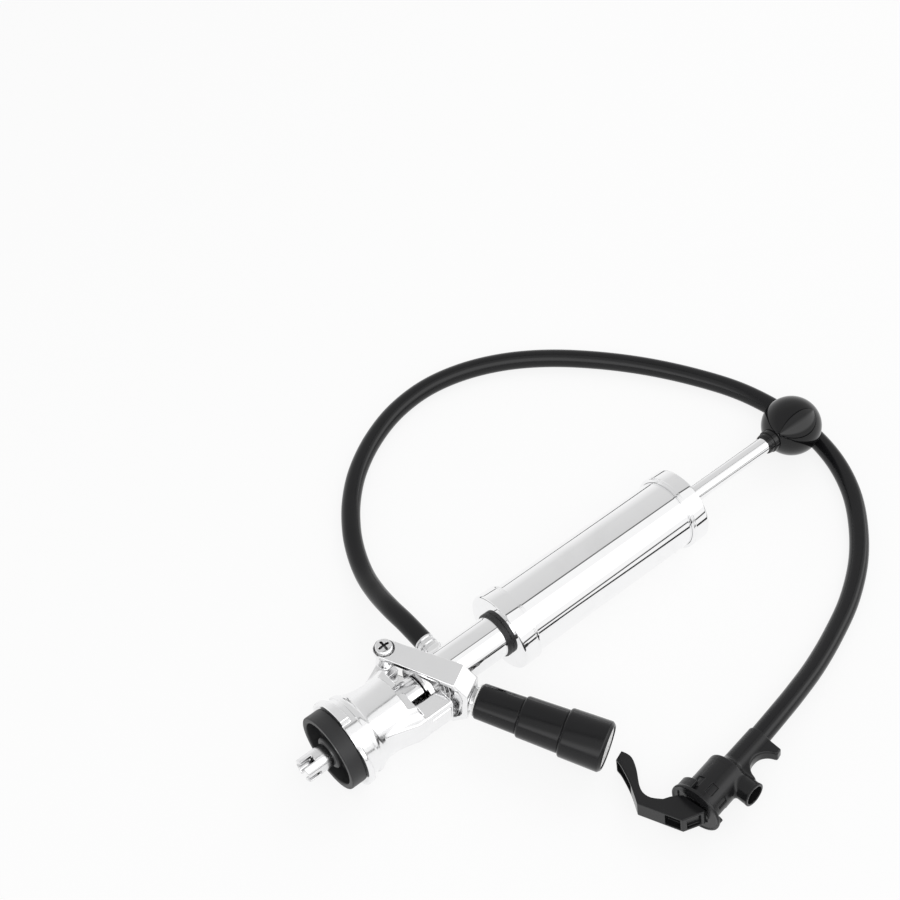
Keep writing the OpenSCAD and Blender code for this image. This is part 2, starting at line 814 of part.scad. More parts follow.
// Beer hose: a solid tube swept along its route
module beer_hose() {
    last = len(hose_route) - 1;
    centres = [for (i = [0:hose_rings]) curve_at(hose_route, last * i / hose_rings)];
    tangents = [for (i = [0:hose_rings])
        i == 0 ? [0, 1, 0]
        : i == hose_rings ? [-cos(tap_turn), -sin(tap_turn), 0]
        : unit(centres[i + 1] - centres[i - 1])];
    points = [for (i = [0:hose_rings])
        let (t = tangents[i], side = unit(cross(t, [0, 0, 1])), up = cross(side, t))
        for (j = [0:hose_sides - 1])
            let (a = 360 * j / hose_sides)
            centres[i] + hose_r * (cos(a) * side + sin(a) * up)];
    faces = concat(
        [[for (j = [0:hose_sides - 1]) j]],
        [for (i = [0:hose_rings - 1], j = [0:hose_sides - 1])
            let (k = (j + 1) % hose_sides, a = i * hose_sides, b = a + hose_sides)
            [a + j, b + j, b + k, a + k]],
        [[for (j = [hose_sides - 1:-1:0]) hose_rings * hose_sides + j]]);
    color("dimgray") place() polyhedron(points, faces, convexity = 6);
}

// Tap housing: barrel, inlet neck, spout and finger hook
module tap_body() {
    neck_end = barrel_len + inlet_len;
    spout_in_d = spout_d - 2 * spout_wall;
    color("dimgray") on_tap() difference() {
        union() {
            rotate([0, 90, 0]) rotate_extrude() polygon([
                [0, 0], [barrel_d / 2, 0], [barrel_d / 2, barrel_len],
                [inlet_d / 2, barrel_len + shoulder_len], [inlet_d / 2, neck_end], [0, neck_end]]);
            on_spout() cylinder(d = spout_d, h = spout_reach);
            finger_hook();
        }
        translate([-over, 0, 0]) rotate([0, 90, 0])
            cylinder(d = barrel_d - 2 * barrel_wall, h = barrel_len - barrel_wall + over);
        rotate([0, 90, 0]) cylinder(d = hose_bore_d, h = neck_end - barrel_wall);
        on_spout() cylinder(d = spout_in_d, h = spout_reach + over);
        clip_slots();
    }
}

// Stands children on the axis of the tap, along the spout
module on_spout() {
    translate([spout_u, 0, 0]) rotate([90, 0, -spout_lean]) children();
}

// Fin from the inlet to the spout, hollowed for a finger
module finger_hook() {
    translate([0, 0, -hook_t / 2]) linear_extrude(hook_t) difference() {
        polygon([[spout_u, 0], [barrel_len + inlet_len, 0], [hook_end_u, -hook_reach / 2],
            [hook_end_u - edge_r, -hook_reach], [hook_end_u - hook_tip_w, -hook_reach - edge_r],
            [spout_u, -hook_reach]]);
        translate([finger_u, -hook_reach - finger_drop]) circle(d = finger_d);
    }
}

// Shallow slots round the barrel behind the collar
module clip_slots() {
    for (i = [0:clip_count - 1]) rotate([360 * (i + 0.5) / clip_count, 0, 0])
        translate([collar_t, -clip_w / 2, barrel_d / 2 - clip_depth])
            cube([clip_h, clip_w, clip_depth + over]);
}

// Collar that closes the barrel, with two plates that carry the lever pin
module tap_collar() {
    hole_d = plunger_d + 2 * run_gap;
    plate_in = tap_lever_t / 2 + side_gap;
    plate_end = -collar_rim - lever_pin_u - lever_pin_d;
    color("dimgray") on_tap() difference() {
        union() {
            rotate([0, 90, 0]) translate([0, 0, -collar_rim])
                round_disc(collar_d, collar_rim, edge_r / 2);
            rotate([0, 90, 0]) cylinder(d = barrel_d - 2 * barrel_wall - 2 * fit_gap, h = collar_t);
            for (side = [0, 1]) mirror([0, 0, side]) translate([plate_end, -lug_plate_w / 2, plate_in])
                cube([-plate_end, lug_plate_w, lug_plate_t]);
        }
        translate([-collar_rim - over, 0, 0]) rotate([0, 90, 0])
            cylinder(d = hole_d, h = collar_t + collar_rim + 2 * over);
        translate([-collar_rim - lever_pin_u, 0, -collar_d])
            cylinder(d = lever_pin_d + 2 * fit_gap, h = 2 * collar_d);
    }
}

// Puts children on the pin of the tap lever, turned as the closed lever stands
module on_tap_lever() {
    on_tap() translate([-collar_rim - lever_pin_u, 0, 0]) rotate([0, 0, -lever_tilt]) children();
}

// Pin of the tap lever
module tap_lever_pin() {
    length = tap_lever_t + 2 * side_gap + 2 * lug_plate_t;
    color("dimgray") on_tap_lever() translate([0, 0, -length / 2])
        cylinder(d = lever_pin_d, h = length);
}

// Plan outline of the thumb lever: a block at the pin and an arm that sweeps to its round tip
module tap_lever_plan() {
    centre = [arm_sweep_r - arm_u, arm_start_v];
    tip_angle = 180 - arm_sweep;
    tip = centre + arm_sweep_r * [cos(tip_angle), sin(tip_angle)];
    root_r = arm_root_w / 2;
    tip_r = arm_tip_w / 2;
    outer = [for (i = [0:arm_steps - 1]) let (s = i / arm_steps)
        centre + (arm_sweep_r + root_r + (tip_r - root_r) * s) * [cos(180 - arm_sweep * s), sin(180 - arm_sweep * s)]];
    inner = [for (i = [arm_steps - 1:-1:0]) let (s = i / arm_steps)
        centre + (arm_sweep_r - root_r - (tip_r - root_r) * s) * [cos(180 - arm_sweep * s), sin(180 - arm_sweep * s)]];
    polygon(concat(
        [[-tap_block_back, -tap_block_low], [-tap_block_len, -tap_block_low],
         [-arm_u - root_r, arm_start_v - arm_root_w]],
        outer, arc(tip, tip_r, tip_angle, tip_angle - 180, 8), inner,
        [[-tap_block_len, tap_block_high], [-tap_block_back, tap_block_high]],
        arc([0, 0], cam_d / 2, 90, -90, cam_facets)));
}

// Thumb lever, bored for its pin
module tap_lever() {
    color("dimgray") on_tap_lever() difference() {
        linear_extrude(tap_lever_t, center = true) tap_lever_plan();
        translate([0, 0, -tap_lever_t]) cylinder(d = lever_pin_d + 2 * fit_gap, h = 2 * tap_lever_t);
    }
}

// Plunger that opens the tap, with its valve disc
module tap_plunger() {
    start = -collar_rim + plunger_gap;
    color("dimgray") on_tap() rotate([0, 90, 0]) {
        translate([0, 0, start]) cylinder(d = plunger_d, h = plunger_reach - start);
        translate([0, 0, plunger_reach - valve_t]) cylinder(d = valve_d, h = valve_t);
    }
}

// Rubber washer on the face of the valve disc
module tap_seal() {
    color("dimgray") on_tap() translate([plunger_reach, 0, 0]) rotate([0, 90, 0])
        cylinder(d = valve_d, h = tap_seal_t);
}

coupler_body();
neck_seal();
pivot_screw();
pivot_nut();
lever_fork();
drive_pin_top();
drive_pin_bottom();
grip_washer();
latch_rod();
grip();
grip_end_cap();
probe_tube();
probe_seal();
ball_seat();
check_ball();
drive_collar();
stem_tube();
stem_washer();
hose_barb();
bottom_cap();
foot_valve();
cylinder_tube();
top_cap();
rod_bushing();
piston_rod();
piston();
piston_cup();
piston_nut();
knob_ferrule();
ball_knob();
beer_hose();
tap_body();
tap_collar();
tap_lever();
tap_lever_pin();
tap_plunger();
tap_seal();
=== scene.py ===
"""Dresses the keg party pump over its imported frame: castings, chrome, rubber, grip, hose and tap."""

import json

import bmesh
import bpy
import numpy as np
from bpy.props import FloatProperty, FloatVectorProperty, PointerProperty
from bpy.types import Operator, Panel, PropertyGroup
from mathutils import Matrix, Vector


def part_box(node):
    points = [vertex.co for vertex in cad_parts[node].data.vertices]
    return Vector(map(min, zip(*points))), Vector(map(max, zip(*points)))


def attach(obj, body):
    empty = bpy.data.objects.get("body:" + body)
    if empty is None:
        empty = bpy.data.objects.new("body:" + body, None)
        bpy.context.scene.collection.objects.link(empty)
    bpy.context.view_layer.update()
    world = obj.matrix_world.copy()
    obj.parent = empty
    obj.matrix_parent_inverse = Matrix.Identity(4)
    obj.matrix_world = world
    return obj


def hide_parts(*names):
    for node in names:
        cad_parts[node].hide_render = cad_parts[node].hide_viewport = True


bl_info = {
    "name": "Keg Party Pump",
    "version": (1, 0, 0),
    "blender": (4, 5, 0),
    "location": "View3D > Sidebar > Pump",
    "description": "Chrome hand pump for a keg, with its hose and tap",
    "category": "Add Mesh",
}

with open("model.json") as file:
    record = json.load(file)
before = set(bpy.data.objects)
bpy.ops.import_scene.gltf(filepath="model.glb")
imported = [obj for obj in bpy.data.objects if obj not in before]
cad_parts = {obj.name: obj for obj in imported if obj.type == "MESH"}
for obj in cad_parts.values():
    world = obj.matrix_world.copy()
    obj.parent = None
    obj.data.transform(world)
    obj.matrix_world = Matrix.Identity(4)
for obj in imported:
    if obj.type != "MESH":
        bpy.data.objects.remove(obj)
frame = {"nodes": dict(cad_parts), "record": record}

# Places, in metres in the row frame
MM = 0.001
TUBE_LOW, TUBE_HIGH = (np.array(corner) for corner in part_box("cylinder_tube"))
FACE = np.array([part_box("coupler_body")[0][0], *((TUBE_LOW + TUBE_HIGH) / 2)[1:]])
JOINTS = {joint["name"]: joint for joint in frame["record"]["behaviour"]["joints"]}


def axes(forward, up):
    """Three rows, the unit vectors of a local frame: forward, sideways and up."""
    forward = np.array(forward, float) / np.linalg.norm(forward)
    side = np.cross(up, forward)
    side /= np.linalg.norm(side)
    return np.array([forward, side, np.cross(forward, side)])


class Place:
    """A local frame of a piece: millimetres along its own axes, from a point of the row frame."""

    def __init__(self, point, forward=(1, 0, 0), up=(0, 0, 1)):
        self.point = np.array(point, float)
        self.rows = axes(forward, up)

    def row(self, points):
        return self.point + np.asarray(points, float) * MM @ self.rows

    def moved(self, along, side=0.0, up=0.0, forward=(1, 0, 0), upward=(0, 0, 1)):
        point = self.row([along, side, up])
        return Place(point, np.array(forward) @ self.rows, np.array(upward) @ self.rows)


PUMP = Place(FACE)
LEVER = Place(JOINTS["lever_swing"]["pos_m"], JOINTS["grip_pull"]["axis"])
OUTLET_X = float(np.mean([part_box("hose_barb")[i][0] for i in (0, 1)]) - FACE[0]) / MM
OUTLET = PUMP.moved(OUTLET_X, forward=(0, 1, 0), upward=(0, 0, 1))
PIN_BACK = 8.9   # from the lever's pin back to the face of the tap's collar, in millimetres
TAP_LEVER = Place(JOINTS["tap_press"]["pos_m"], JOINTS["tap_valve_slide"]["axis"], JOINTS["tap_press"]["axis"])
TAP = TAP_LEVER.moved(PIN_BACK)


def ends(node):
    """Where a node starts and ends along the pump's axis, in millimetres behind the coupler's face."""
    return tuple((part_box(node)[i][0] - FACE[0]) / MM for i in (0, 1))


def half_height(node):
    """Radius of a round node on the pump's axis, in millimetres."""
    low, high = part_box(node)
    return (high[2] - low[2]) / 2 / MM


# Surfaces: largest share of a side that a rounded corner takes, points on its curve, the angle in
# degrees from which an edge stays sharp, the span in millimetres over which a field's slope is
# measured, and the passes that slide a mesh onto its surface
CORNER_SHARE, CORNER_STEPS = 0.45, 6
SHARP_ANGLE = 38
SLOPE_REACH, SLIDE_PASSES = 0.02, 4


def rounded(points, reach):
    """A line of points whose inner corners become short curves: each starts and ends at reach from
    the corner, at most CORNER_SHARE of the way to the next, and bends as a quadratic curve does."""
    p = np.array(points, float)
    corner, before, after = p[1:-1], p[:-2], p[2:]
    reach = np.broadcast_to(np.asarray(reach, float), len(corner))[:, None]
    steps = np.linspace(0, 1, CORNER_STEPS)[None, :, None]

    def cut(towards):
        gap = np.linalg.norm(towards - corner, axis=1, keepdims=True)
        return corner + (towards - corner) * np.minimum(reach / np.maximum(gap, 1e-9), CORNER_SHARE)

    start, end = cut(before)[:, None], cut(after)[:, None]
    bend = (1 - steps) ** 2 * start + 2 * steps * (1 - steps) * corner[:, None] + steps**2 * end
    return np.vstack([p[:1], bend.reshape(-1, 2), p[-1:]])


def shell(name, points, faces, place, normals=None):
    """A mesh object from points in a local frame, with seams and poles closed and faces outwards."""
    mesh = bpy.data.meshes.new(name)
    mesh.from_pydata(place.row(points), [], faces.tolist())
    if normals is None:
        work = bmesh.new()
        work.from_mesh(mesh)
        bmesh.ops.remove_doubles(work, verts=work.verts, dist=1e-6)
        bmesh.ops.dissolve_degenerate(work, edges=work.edges, dist=1e-7)
        bmesh.ops.recalc_face_normals(work, faces=work.faces)
        work.to_mesh(mesh)
        work.free()
    mesh.shade_smooth()
    if normals is None:
        mesh.set_sharp_from_angle(angle=np.radians(SHARP_ANGLE))
    else:
        mesh.normals_split_custom_set_from_vertices(normals @ place.rows)
    piece = bpy.data.objects.new(name, mesh)
    bpy.context.scene.collection.objects.link(piece)
    return piece


def grid_faces(rows, columns, closed):
    """Four-sided faces of a grid of points, as rows of indices; closed joins the last column to the first."""
    i, j = np.meshgrid(np.arange(rows - 1), np.arange(columns - (0 if closed else 1)), indexing="ij")
    a, b = i * columns + j, i * columns + (j + 1) % columns
    return np.stack([a, b, b + columns, a + columns], -1).reshape(-1, 4)


def turned(name, profile, place=PUMP, around=160, outline=None):
    """A profile of (place, radius) carried round the local X axis: (x, r cos a, r sin a).
    An outline scales the radius at each angle, as on the six sides of a nut."""
    profile = np.asarray(profile, float)
    angle = np.linspace(0, 2 * np.pi, around, endpoint=False)
    scale = np.ones(around) if outline is None else outline(angle)
    radius = profile[:, 1, None] * scale
    grid = np.stack([np.repeat(profile[:, :1], around, 1), radius * np.cos(angle), radius * np.sin(angle)], -1)
    return shell(name, grid.reshape(-1, 3), grid_faces(len(profile), around, True), place)


def cast(name, field, low, high, cell, place):
    """The surface where a field of distances is zero. Each grid cell that it crosses gets one point,
    the middle of the crossings on the cell's edges, slid onto the surface down the field's slope,
    and each grid edge that it cuts gets one face between the four cells round it."""
    size = np.ceil((np.array(high) - low) / cell).astype(int) + 1
    lines = [low[i] + cell * np.arange(size[i]) for i in range(3)]
    value = field(np.stack(np.meshgrid(*lines, indexing="ij"), -1).reshape(-1, 3)).reshape(size)
    inside = value < 0
    total = np.zeros((*(size - 1), 3))
    count = np.zeros(size - 1)
    corners = [np.array([i, j, k]) for i in (0, 1) for j in (0, 1) for k in (0, 1)]

    def at(grid, corner):
        return grid[tuple(slice(c, grid.shape[i] - 1 + c) for i, c in enumerate(corner))]

    for a in corners:
        for axis in range(3):
            if a[axis]:
                continue
            step = np.eye(3, dtype=int)[axis]
            va, vb = at(value, a), at(value, a + step)
            crossing = (va < 0) != (vb < 0)
            share = np.where(crossing, va / np.where(crossing, va - vb, 1), 0)
            total += np.where(crossing[..., None], a + share[..., None] * step, 0)
            count += crossing
    active = count > 0
    index = np.full(active.shape, -1)
    index[active] = np.arange(active.sum())
    points = np.argwhere(active) + total[active] / count[active][:, None]
    points = np.array(low) + points * cell
    faces = []
    for axis in range(3):
        b, c = (axis + 1) % 3, (axis + 2) % 3
        shape = [slice(1, -1)] * 3
        shape[axis] = slice(0, -1)
        ahead = list(shape)
        ahead[axis] = slice(1, None)
        first, second = inside[tuple(shape)], inside[tuple(ahead)]
        cut = np.argwhere(first != second) + [0 if i == axis else 1 for i in range(3)]
        flip = first[first != second]
        ring = [index[tuple((cut - db * np.eye(3, dtype=int)[b] - dc * np.eye(3, dtype=int)[c]).T)]
                for db, dc in ((1, 1), (0, 1), (0, 0), (1, 0))]
        ring = np.stack(ring, -1)
        faces.append(np.where(flip[:, None], ring, ring[:, ::-1]))

    def slope(at_points):
        steps = SLOPE_REACH * np.eye(3)
        rise = [field(at_points + step) - field(at_points - step) for step in steps]
        return np.stack(rise, -1) / (2 * SLOPE_REACH)

    for _ in range(SLIDE_PASSES):
        lean = slope(points)
        step = field(points)[:, None] * lean / np.maximum((lean**2).sum(1, keepdims=True), 0.05)
        points -= np.clip(step, -cell / 2, cell / 2)
    lean = slope(points)
    normals = lean / np.maximum(np.linalg.norm(lean, axis=1, keepdims=True), 1e-9)
    return shell(name, points, np.vstack(faces), place, normals)


# Fields of distance, in millimetres: negative inside
def join(a, b, blend=0.01):
    """Both forms as one, with a fillet of about the size of blend between them."""
    share = np.clip(0.5 + 0.5 * (b - a) / blend, 0, 1)
    return b + (a - b) * share - blend * share * (1 - share)


def meet(a, b, edge=0.01):
    """Only what is in both forms, with the edge between them rounded."""
    return -join(-a, -b, edge)


def carve(a, b, edge=0.01):
    """The first form less the second, with the edge between them rounded."""
    return meet(a, -b, edge)


def within(*distances, edge=0.5):
    """What is inside several limits at once, with outer edges of that radius."""
    q = np.stack(distances, -1) + edge
    return np.minimum(q.max(-1), 0) + np.linalg.norm(np.maximum(q, 0), axis=-1) - edge


def span(value, low, high):
    """Distance past the nearer of two limits along one direction."""
    return np.abs(value - (low + high) / 2) - (high - low) / 2


def edges_of(points, corners):
    """Distance to a closed outline of straight sides, negative inside, by the nearest point of each
    side and the number of sides crossed."""
    a = np.array(corners, float)
    b = np.roll(a, -1, 0)
    nearest = np.full(len(points), np.inf)
    inside = np.zeros(len(points), bool)
    for p, q in zip(a, b):
        run, gap = q - p, points - p
        share = np.clip(gap @ run / (run @ run), 0, 1)
        nearest = np.minimum(nearest, np.linalg.norm(gap - share[:, None] * run, axis=1))
        crosses = (p[1] > points[:, 1]) != (q[1] > points[:, 1])
        height = np.where(q[1] == p[1], 1, q[1] - p[1])
        inside ^= crosses & (points[:, 0] < run[0] * gap[:, 1] / height + p[0])
    return np.where(inside, -nearest, nearest)


# Finishes
def add(tree, kind, sockets=None, **settings):
    """A shader node with its settings, and each named socket given a value or linked to an output."""
    node = tree.nodes.new(kind)
    for key, value in settings.items():
        setattr(node, key, value)
    for key, value in (sockets or {}).items():
        if isinstance(value, bpy.types.NodeSocket):
            tree.links.new(value, node.inputs[key])
        else:
            node.inputs[key].default_value = value
    return node


def group(name, inputs, outputs):
    """An empty shader node group with named number inputs and outputs, and its two end nodes."""
    tree = bpy.data.node_groups.new(name, "ShaderNodeTree")
    for key, value in inputs.items():
        tree.interface.new_socket(key, in_out="INPUT", socket_type="NodeSocketFloat").default_value = value
    for key in outputs:
        tree.interface.new_socket(key, in_out="OUTPUT", socket_type="NodeSocketFloat")
    return tree, tree.nodes.new("NodeGroupInput"), tree.nodes.new("NodeGroupOutput")


def spread(tree, value, low, high, to_low=0.0, to_high=1.0):
    """A value carried from one range to another."""
    sockets = {"Value": value, "From Min": low, "From Max": high, "To Min": to_low, "To Max": to_high}
    return add(tree, "ShaderNodeMapRange", sockets).outputs["Result"]


def maths(tree, operation, a, b):
    """The result of a sum, product or other operation on two values."""
    return add(tree, "ShaderNodeMath", {0: a, 1: b}, operation=operation).outputs["Value"]


def either(tree, share, first, second):
    """A mix of two shaders: the first at share 0, the second at share 1."""
    return add(tree, "ShaderNodeMixShader", {0: share, 1: first, 2: second}).outputs["Shader"]


def noise(tree, vector, scale, detail, roughness=0.5, distortion=0.0):
    """The factor of a noise texture."""
    sockets = {"Vector": vector, "Scale": scale, "Detail": detail, "Roughness": roughness, "Distortion": distortion}
    return add(tree, "ShaderNodeTexNoise", sockets).outputs["Fac"]


def handling_marks():
    """Faint wipe marks and fine scratches: a height, and a share of roughness to add."""
    tree, given, out = group("handling_marks", {"Scale": 60.0, "Smudge": 1.0}, ["Height", "Haze"])
    place = add(tree, "ShaderNodeTexCoord").outputs["Object"]
    smear = noise(tree, place, given.outputs["Scale"], 5.0, 0.6, 0.6)
    haze = maths(tree, "MULTIPLY", spread(tree, smear, 0.48, 0.75), given.outputs["Smudge"])
    stretched = add(tree, "ShaderNodeMapping", {"Vector": place, "Scale": (40.0, 900.0, 900.0)})
    tree.links.new(haze, out.inputs["Haze"])
    tree.links.new(noise(tree, stretched.outputs["Vector"], 1.0, 3.0), out.inputs["Height"])
    return tree


def cast_skin():
    """The soft unevenness of a polished casting, with a few small pits: a height and a haze."""
    tree, given, out = group("cast_skin", {"Scale": 120.0, "Pits": 0.3}, ["Height", "Haze"])
    place = add(tree, "ShaderNodeTexCoord").outputs["Object"]
    swell = noise(tree, place, given.outputs["Scale"], 2.0, 0.45)
    cells = add(tree, "ShaderNodeTexVoronoi", {"Vector": place, "Scale": 700.0})
    pit = spread(tree, cells.outputs["Distance"], 0.0, 0.12, 1.0, 0.0)
    pit = maths(tree, "MULTIPLY", pit, given.outputs["Pits"])
    tree.links.new(maths(tree, "SUBTRACT", swell, pit), out.inputs["Height"])
    tree.links.new(swell, out.inputs["Haze"])
    return tree


def moulded_skin():
    """The fine pebble of a moulded or extruded face and its slow change of gloss: a height and a haze."""
    tree, given, out = group("moulded_skin", {"Grain": 2200.0, "Patches": 50.0}, ["Height", "Haze"])
    place = add(tree, "ShaderNodeTexCoord").outputs["Object"]
    tree.links.new(noise(tree, place, given.outputs["Grain"], 3.0, 0.6), out.inputs["Height"])
    tree.links.new(noise(tree, place, given.outputs["Patches"], 3.0), out.inputs["Haze"])
    return tree


# Painted shade in hollows and corners: reach of the darkening where a face is hemmed in, in metres, and the shares of
# open sky it spans
CORNER_REACH, CORNER_FROM, CORNER_TO = 0.006, 0.25, 0.7


def finish(name, skin, colour, shade, rough, bump, metallic=0.0, gloss=0.5, corners=0.0, skin_values=None):
    """A material: a skin group drives roughness between two values, the colour between two shades,
    and a bump of that depth in metres. Corners is how far the colour darkens where a face is hemmed in: painted shade,
    by ambient occlusion."""
    material = bpy.data.materials.new(name)
    material.use_nodes = True
    tree = material.node_tree
    surface = tree.nodes["Principled BSDF"]
    marks = add(tree, "ShaderNodeGroup", node_tree=skin)
    for key, value in (skin_values or {}).items():
        marks.inputs[key].default_value = value
    haze = marks.outputs["Haze"]
    tint = add(tree, "ShaderNodeMix", data_type="RGBA")
    tree.links.new(haze, tint.inputs[0])
    tint.inputs[6].default_value = (*colour, 1.0)
    tint.inputs[7].default_value = (*shade, 1.0)
    relief = add(tree, "ShaderNodeBump", {"Height": marks.outputs["Height"], "Strength": 1.0, "Distance": bump})
    # Painted shade: the base colour darkens by ambient occlusion where a face is hemmed in
    if corners:
        open_share = add(tree, "ShaderNodeAmbientOcclusion", {"Distance": CORNER_REACH}, samples=8)
        clear = spread(tree, open_share.outputs["AO"], CORNER_FROM, CORNER_TO, 1.0 - corners)
        corner_shaded_colour = add(tree, "ShaderNodeVectorMath", {0: tint.outputs[2], 1: clear}, operation="MULTIPLY")
        tree.links.new(corner_shaded_colour.outputs["Vector"], surface.inputs["Base Color"])
    else:
        tree.links.new(tint.outputs[2], surface.inputs["Base Color"])
    tree.links.new(spread(tree, haze, 0.0, 1.0, *rough), surface.inputs["Roughness"])
    tree.links.new(relief.outputs["Normal"], surface.inputs["Normal"])
    surface.inputs["Metallic"].default_value = metallic
    surface.inputs["Specular IOR Level"].default_value = gloss
    return material


class Finishes:
    """The materials by name, built once."""

    def __init__(self, looks):
        marks, skin, moulded = handling_marks(), cast_skin(), moulded_skin()
        chrome, black = tuple(looks.chrome), tuple(looks.black)
        dull = tuple(0.96 * c for c in chrome)
        grey = tuple(2.2 * c for c in black)
        # Cast chrome and bright steel carry painted shade: their colour is darkened in hollows and corners
        self.cast_chrome = finish("cast_chrome", skin, chrome, dull, (0.10, 0.20), 0.00006, 1.0,
                                  corners=0.75, skin_values={"Scale": 160.0, "Pits": 0.12})
        self.tube_chrome = finish("tube_chrome", marks, chrome, dull, (0.03, 0.09), 0.0000015, 1.0,
                                  skin_values={"Scale": 40.0})
        self.bright_steel = finish("bright_steel", marks, (0.84, 0.84, 0.845), (0.74, 0.74, 0.75), (0.12, 0.26),
                                   0.000008, 1.0, corners=0.8)
        self.black_rubber = finish("black_rubber", moulded, (0.022, 0.022, 0.023), (0.036, 0.036, 0.037), (0.34, 0.52),
                                   0.00003, gloss=0.3, skin_values={"Grain": 1500.0})
        self.grip_black = finish("grip_black", moulded, black, grey, (0.12, 0.26), 0.00001, gloss=0.3)
        self.knob_black = finish("knob_black", marks, black, grey, (0.05, 0.12), 0.000002, gloss=0.35)
        self.hose_black = finish("hose_black", moulded, black, grey, (0.12, 0.26), 0.00001, gloss=0.3,
                                 skin_values={"Grain": 900.0})
        self.tap_black = finish("tap_black", moulded, (0.006, 0.006, 0.0065), (0.014, 0.014, 0.015), (0.16, 0.30),
                                0.00001, gloss=0.3)
        self.white_plastic = finish("white_plastic", moulded, (0.90, 0.90, 0.89), (0.86, 0.86, 0.85), (0.28, 0.42),
                                    0.00001)


class PumpLooks(PropertyGroup):
    chrome: FloatVectorProperty(name="Chrome", description="Colour of the plated metal", subtype="COLOR",
                                size=3, min=0.0, max=1.0, default=(0.93, 0.93, 0.935))
    black: FloatVectorProperty(name="Black", description="Colour of the grip, the knob and the hose",
                               subtype="COLOR", size=3, min=0.0, max=1.0, default=(0.004, 0.004, 0.0045))
    floor: FloatVectorProperty(name="Floor", description="Colour of the table", subtype="COLOR", size=3,
                               min=0.0, max=1.0, default=(0.92, 0.92, 0.92))


class PumpSizes(PropertyGroup):
    hose_diameter: FloatProperty(name="Hose diameter", description="Outer diameter of the beer hose",
                                 unit="LENGTH", min=0.008, max=0.014, default=0.011)


# What the steps share: the materials, the hose and its path, and the nodes that pieces stand for
made = {}
dressed = set()


def finishes():
    """The materials, built at the first call."""
    if "finishes" not in made:
        made["finishes"] = Finishes(bpy.context.scene.pump_looks)
    return made["finishes"]


BODY_OF = {node: body for body, nodes in frame["record"]["behaviour"]["bodies"].items() for node in nodes}
SLOT_OF = {part["node"]: part["material_slot"] for part in frame["record"]["subparts"]}


def dress(piece, *nodes):
    """The piece stands for its nodes: it rides on their body and takes their slot and finish."""
    slot = SLOT_OF[nodes[0]]
    piece.data.materials.append(getattr(finishes(), slot))
    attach(piece, BODY_OF[nodes[0]])
    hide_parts(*nodes)
    dressed.update(nodes)
    return piece


# Coupler: sizes in millimetres from its face, as the casting is drawn
SKIRT_R, SKIRT_END, LIP_X, LIP_R, LIP_BORE = 21.6, 11.5, 9.6, 22.3, 18
WAIST_START, WAIST_R, WAIST_X, WAIST_SWEEP = 10.2, 18.2, 26.6, 38.0
CASTING_END, CASTING_BORE, BORE_START = ends("coupler_body")[0] + 38.0, 14.0, 6
RECESS_R, RECESS_END, THROAT_R = 19.4, 3.0, 9.2
FLAT_X, ARM_IN, ARM_GAP = 33.5, 14.4, 0.3

# Bayonet lugs: outer and root radius, height in the middle and slope, then for each lug its first
# and last angle and the angles over which its two ends rise, in degrees
LUG_R, LUG_ROOT, LUG_BORE, LUG_MID, LUG_SLOPE = 24.3, SKIRT_R - 0.3, 19, 3.6, np.radians(4.8)
LUGS = np.radians([[64.0, 187.0, 3.0, 5.0], [219.0, 331.0, 22.0, 3.0]])

# Cheek that guides the probe's shoulder, and the ear of the pivot, seen from above
CHEEK = [(18, -15.4), (26, -18.0), (34.5, -20.8), (56, -20.8), (56, -7), (18, -7)]
CHEEK_HALF, PAD_HALF = 9, 5.2
PIVOT, BOSS_R, SCREW_BORE_R = (45.0, 22.0), 4.6, 2.6
GUSSET, GUSSET_HALF = [(23, 15), (42.6, 24.4), (47.4, 22), (47.4, 6), (23, 6)], 5

# Neck ring: its outer and inner radius and its nose, and the gas ports in its web
RING_R, RING_BORE, RING_NOSE = 21.2, 18.0, -8.6
PORTS, PORT_SHIFT, PORT_IN, PORT_OUT, PORT_HALF = 4, 0.2, 11.0, 15.6, 3.4

# Pivot screw and nut
HEAD_R, HEAD_T, CROSS_REACH, CROSS_HALF, CROSS_DEPTH = 4.7, 2.6, 3.1, 0.65, 3.0
SHANK_R, THREAD_START, THREAD_PITCH, THREAD_DEPTH = 2.5, 36, 0.8, 0.16
NUT_FLAT_R, NUT_BORE = 4.0, 2.58


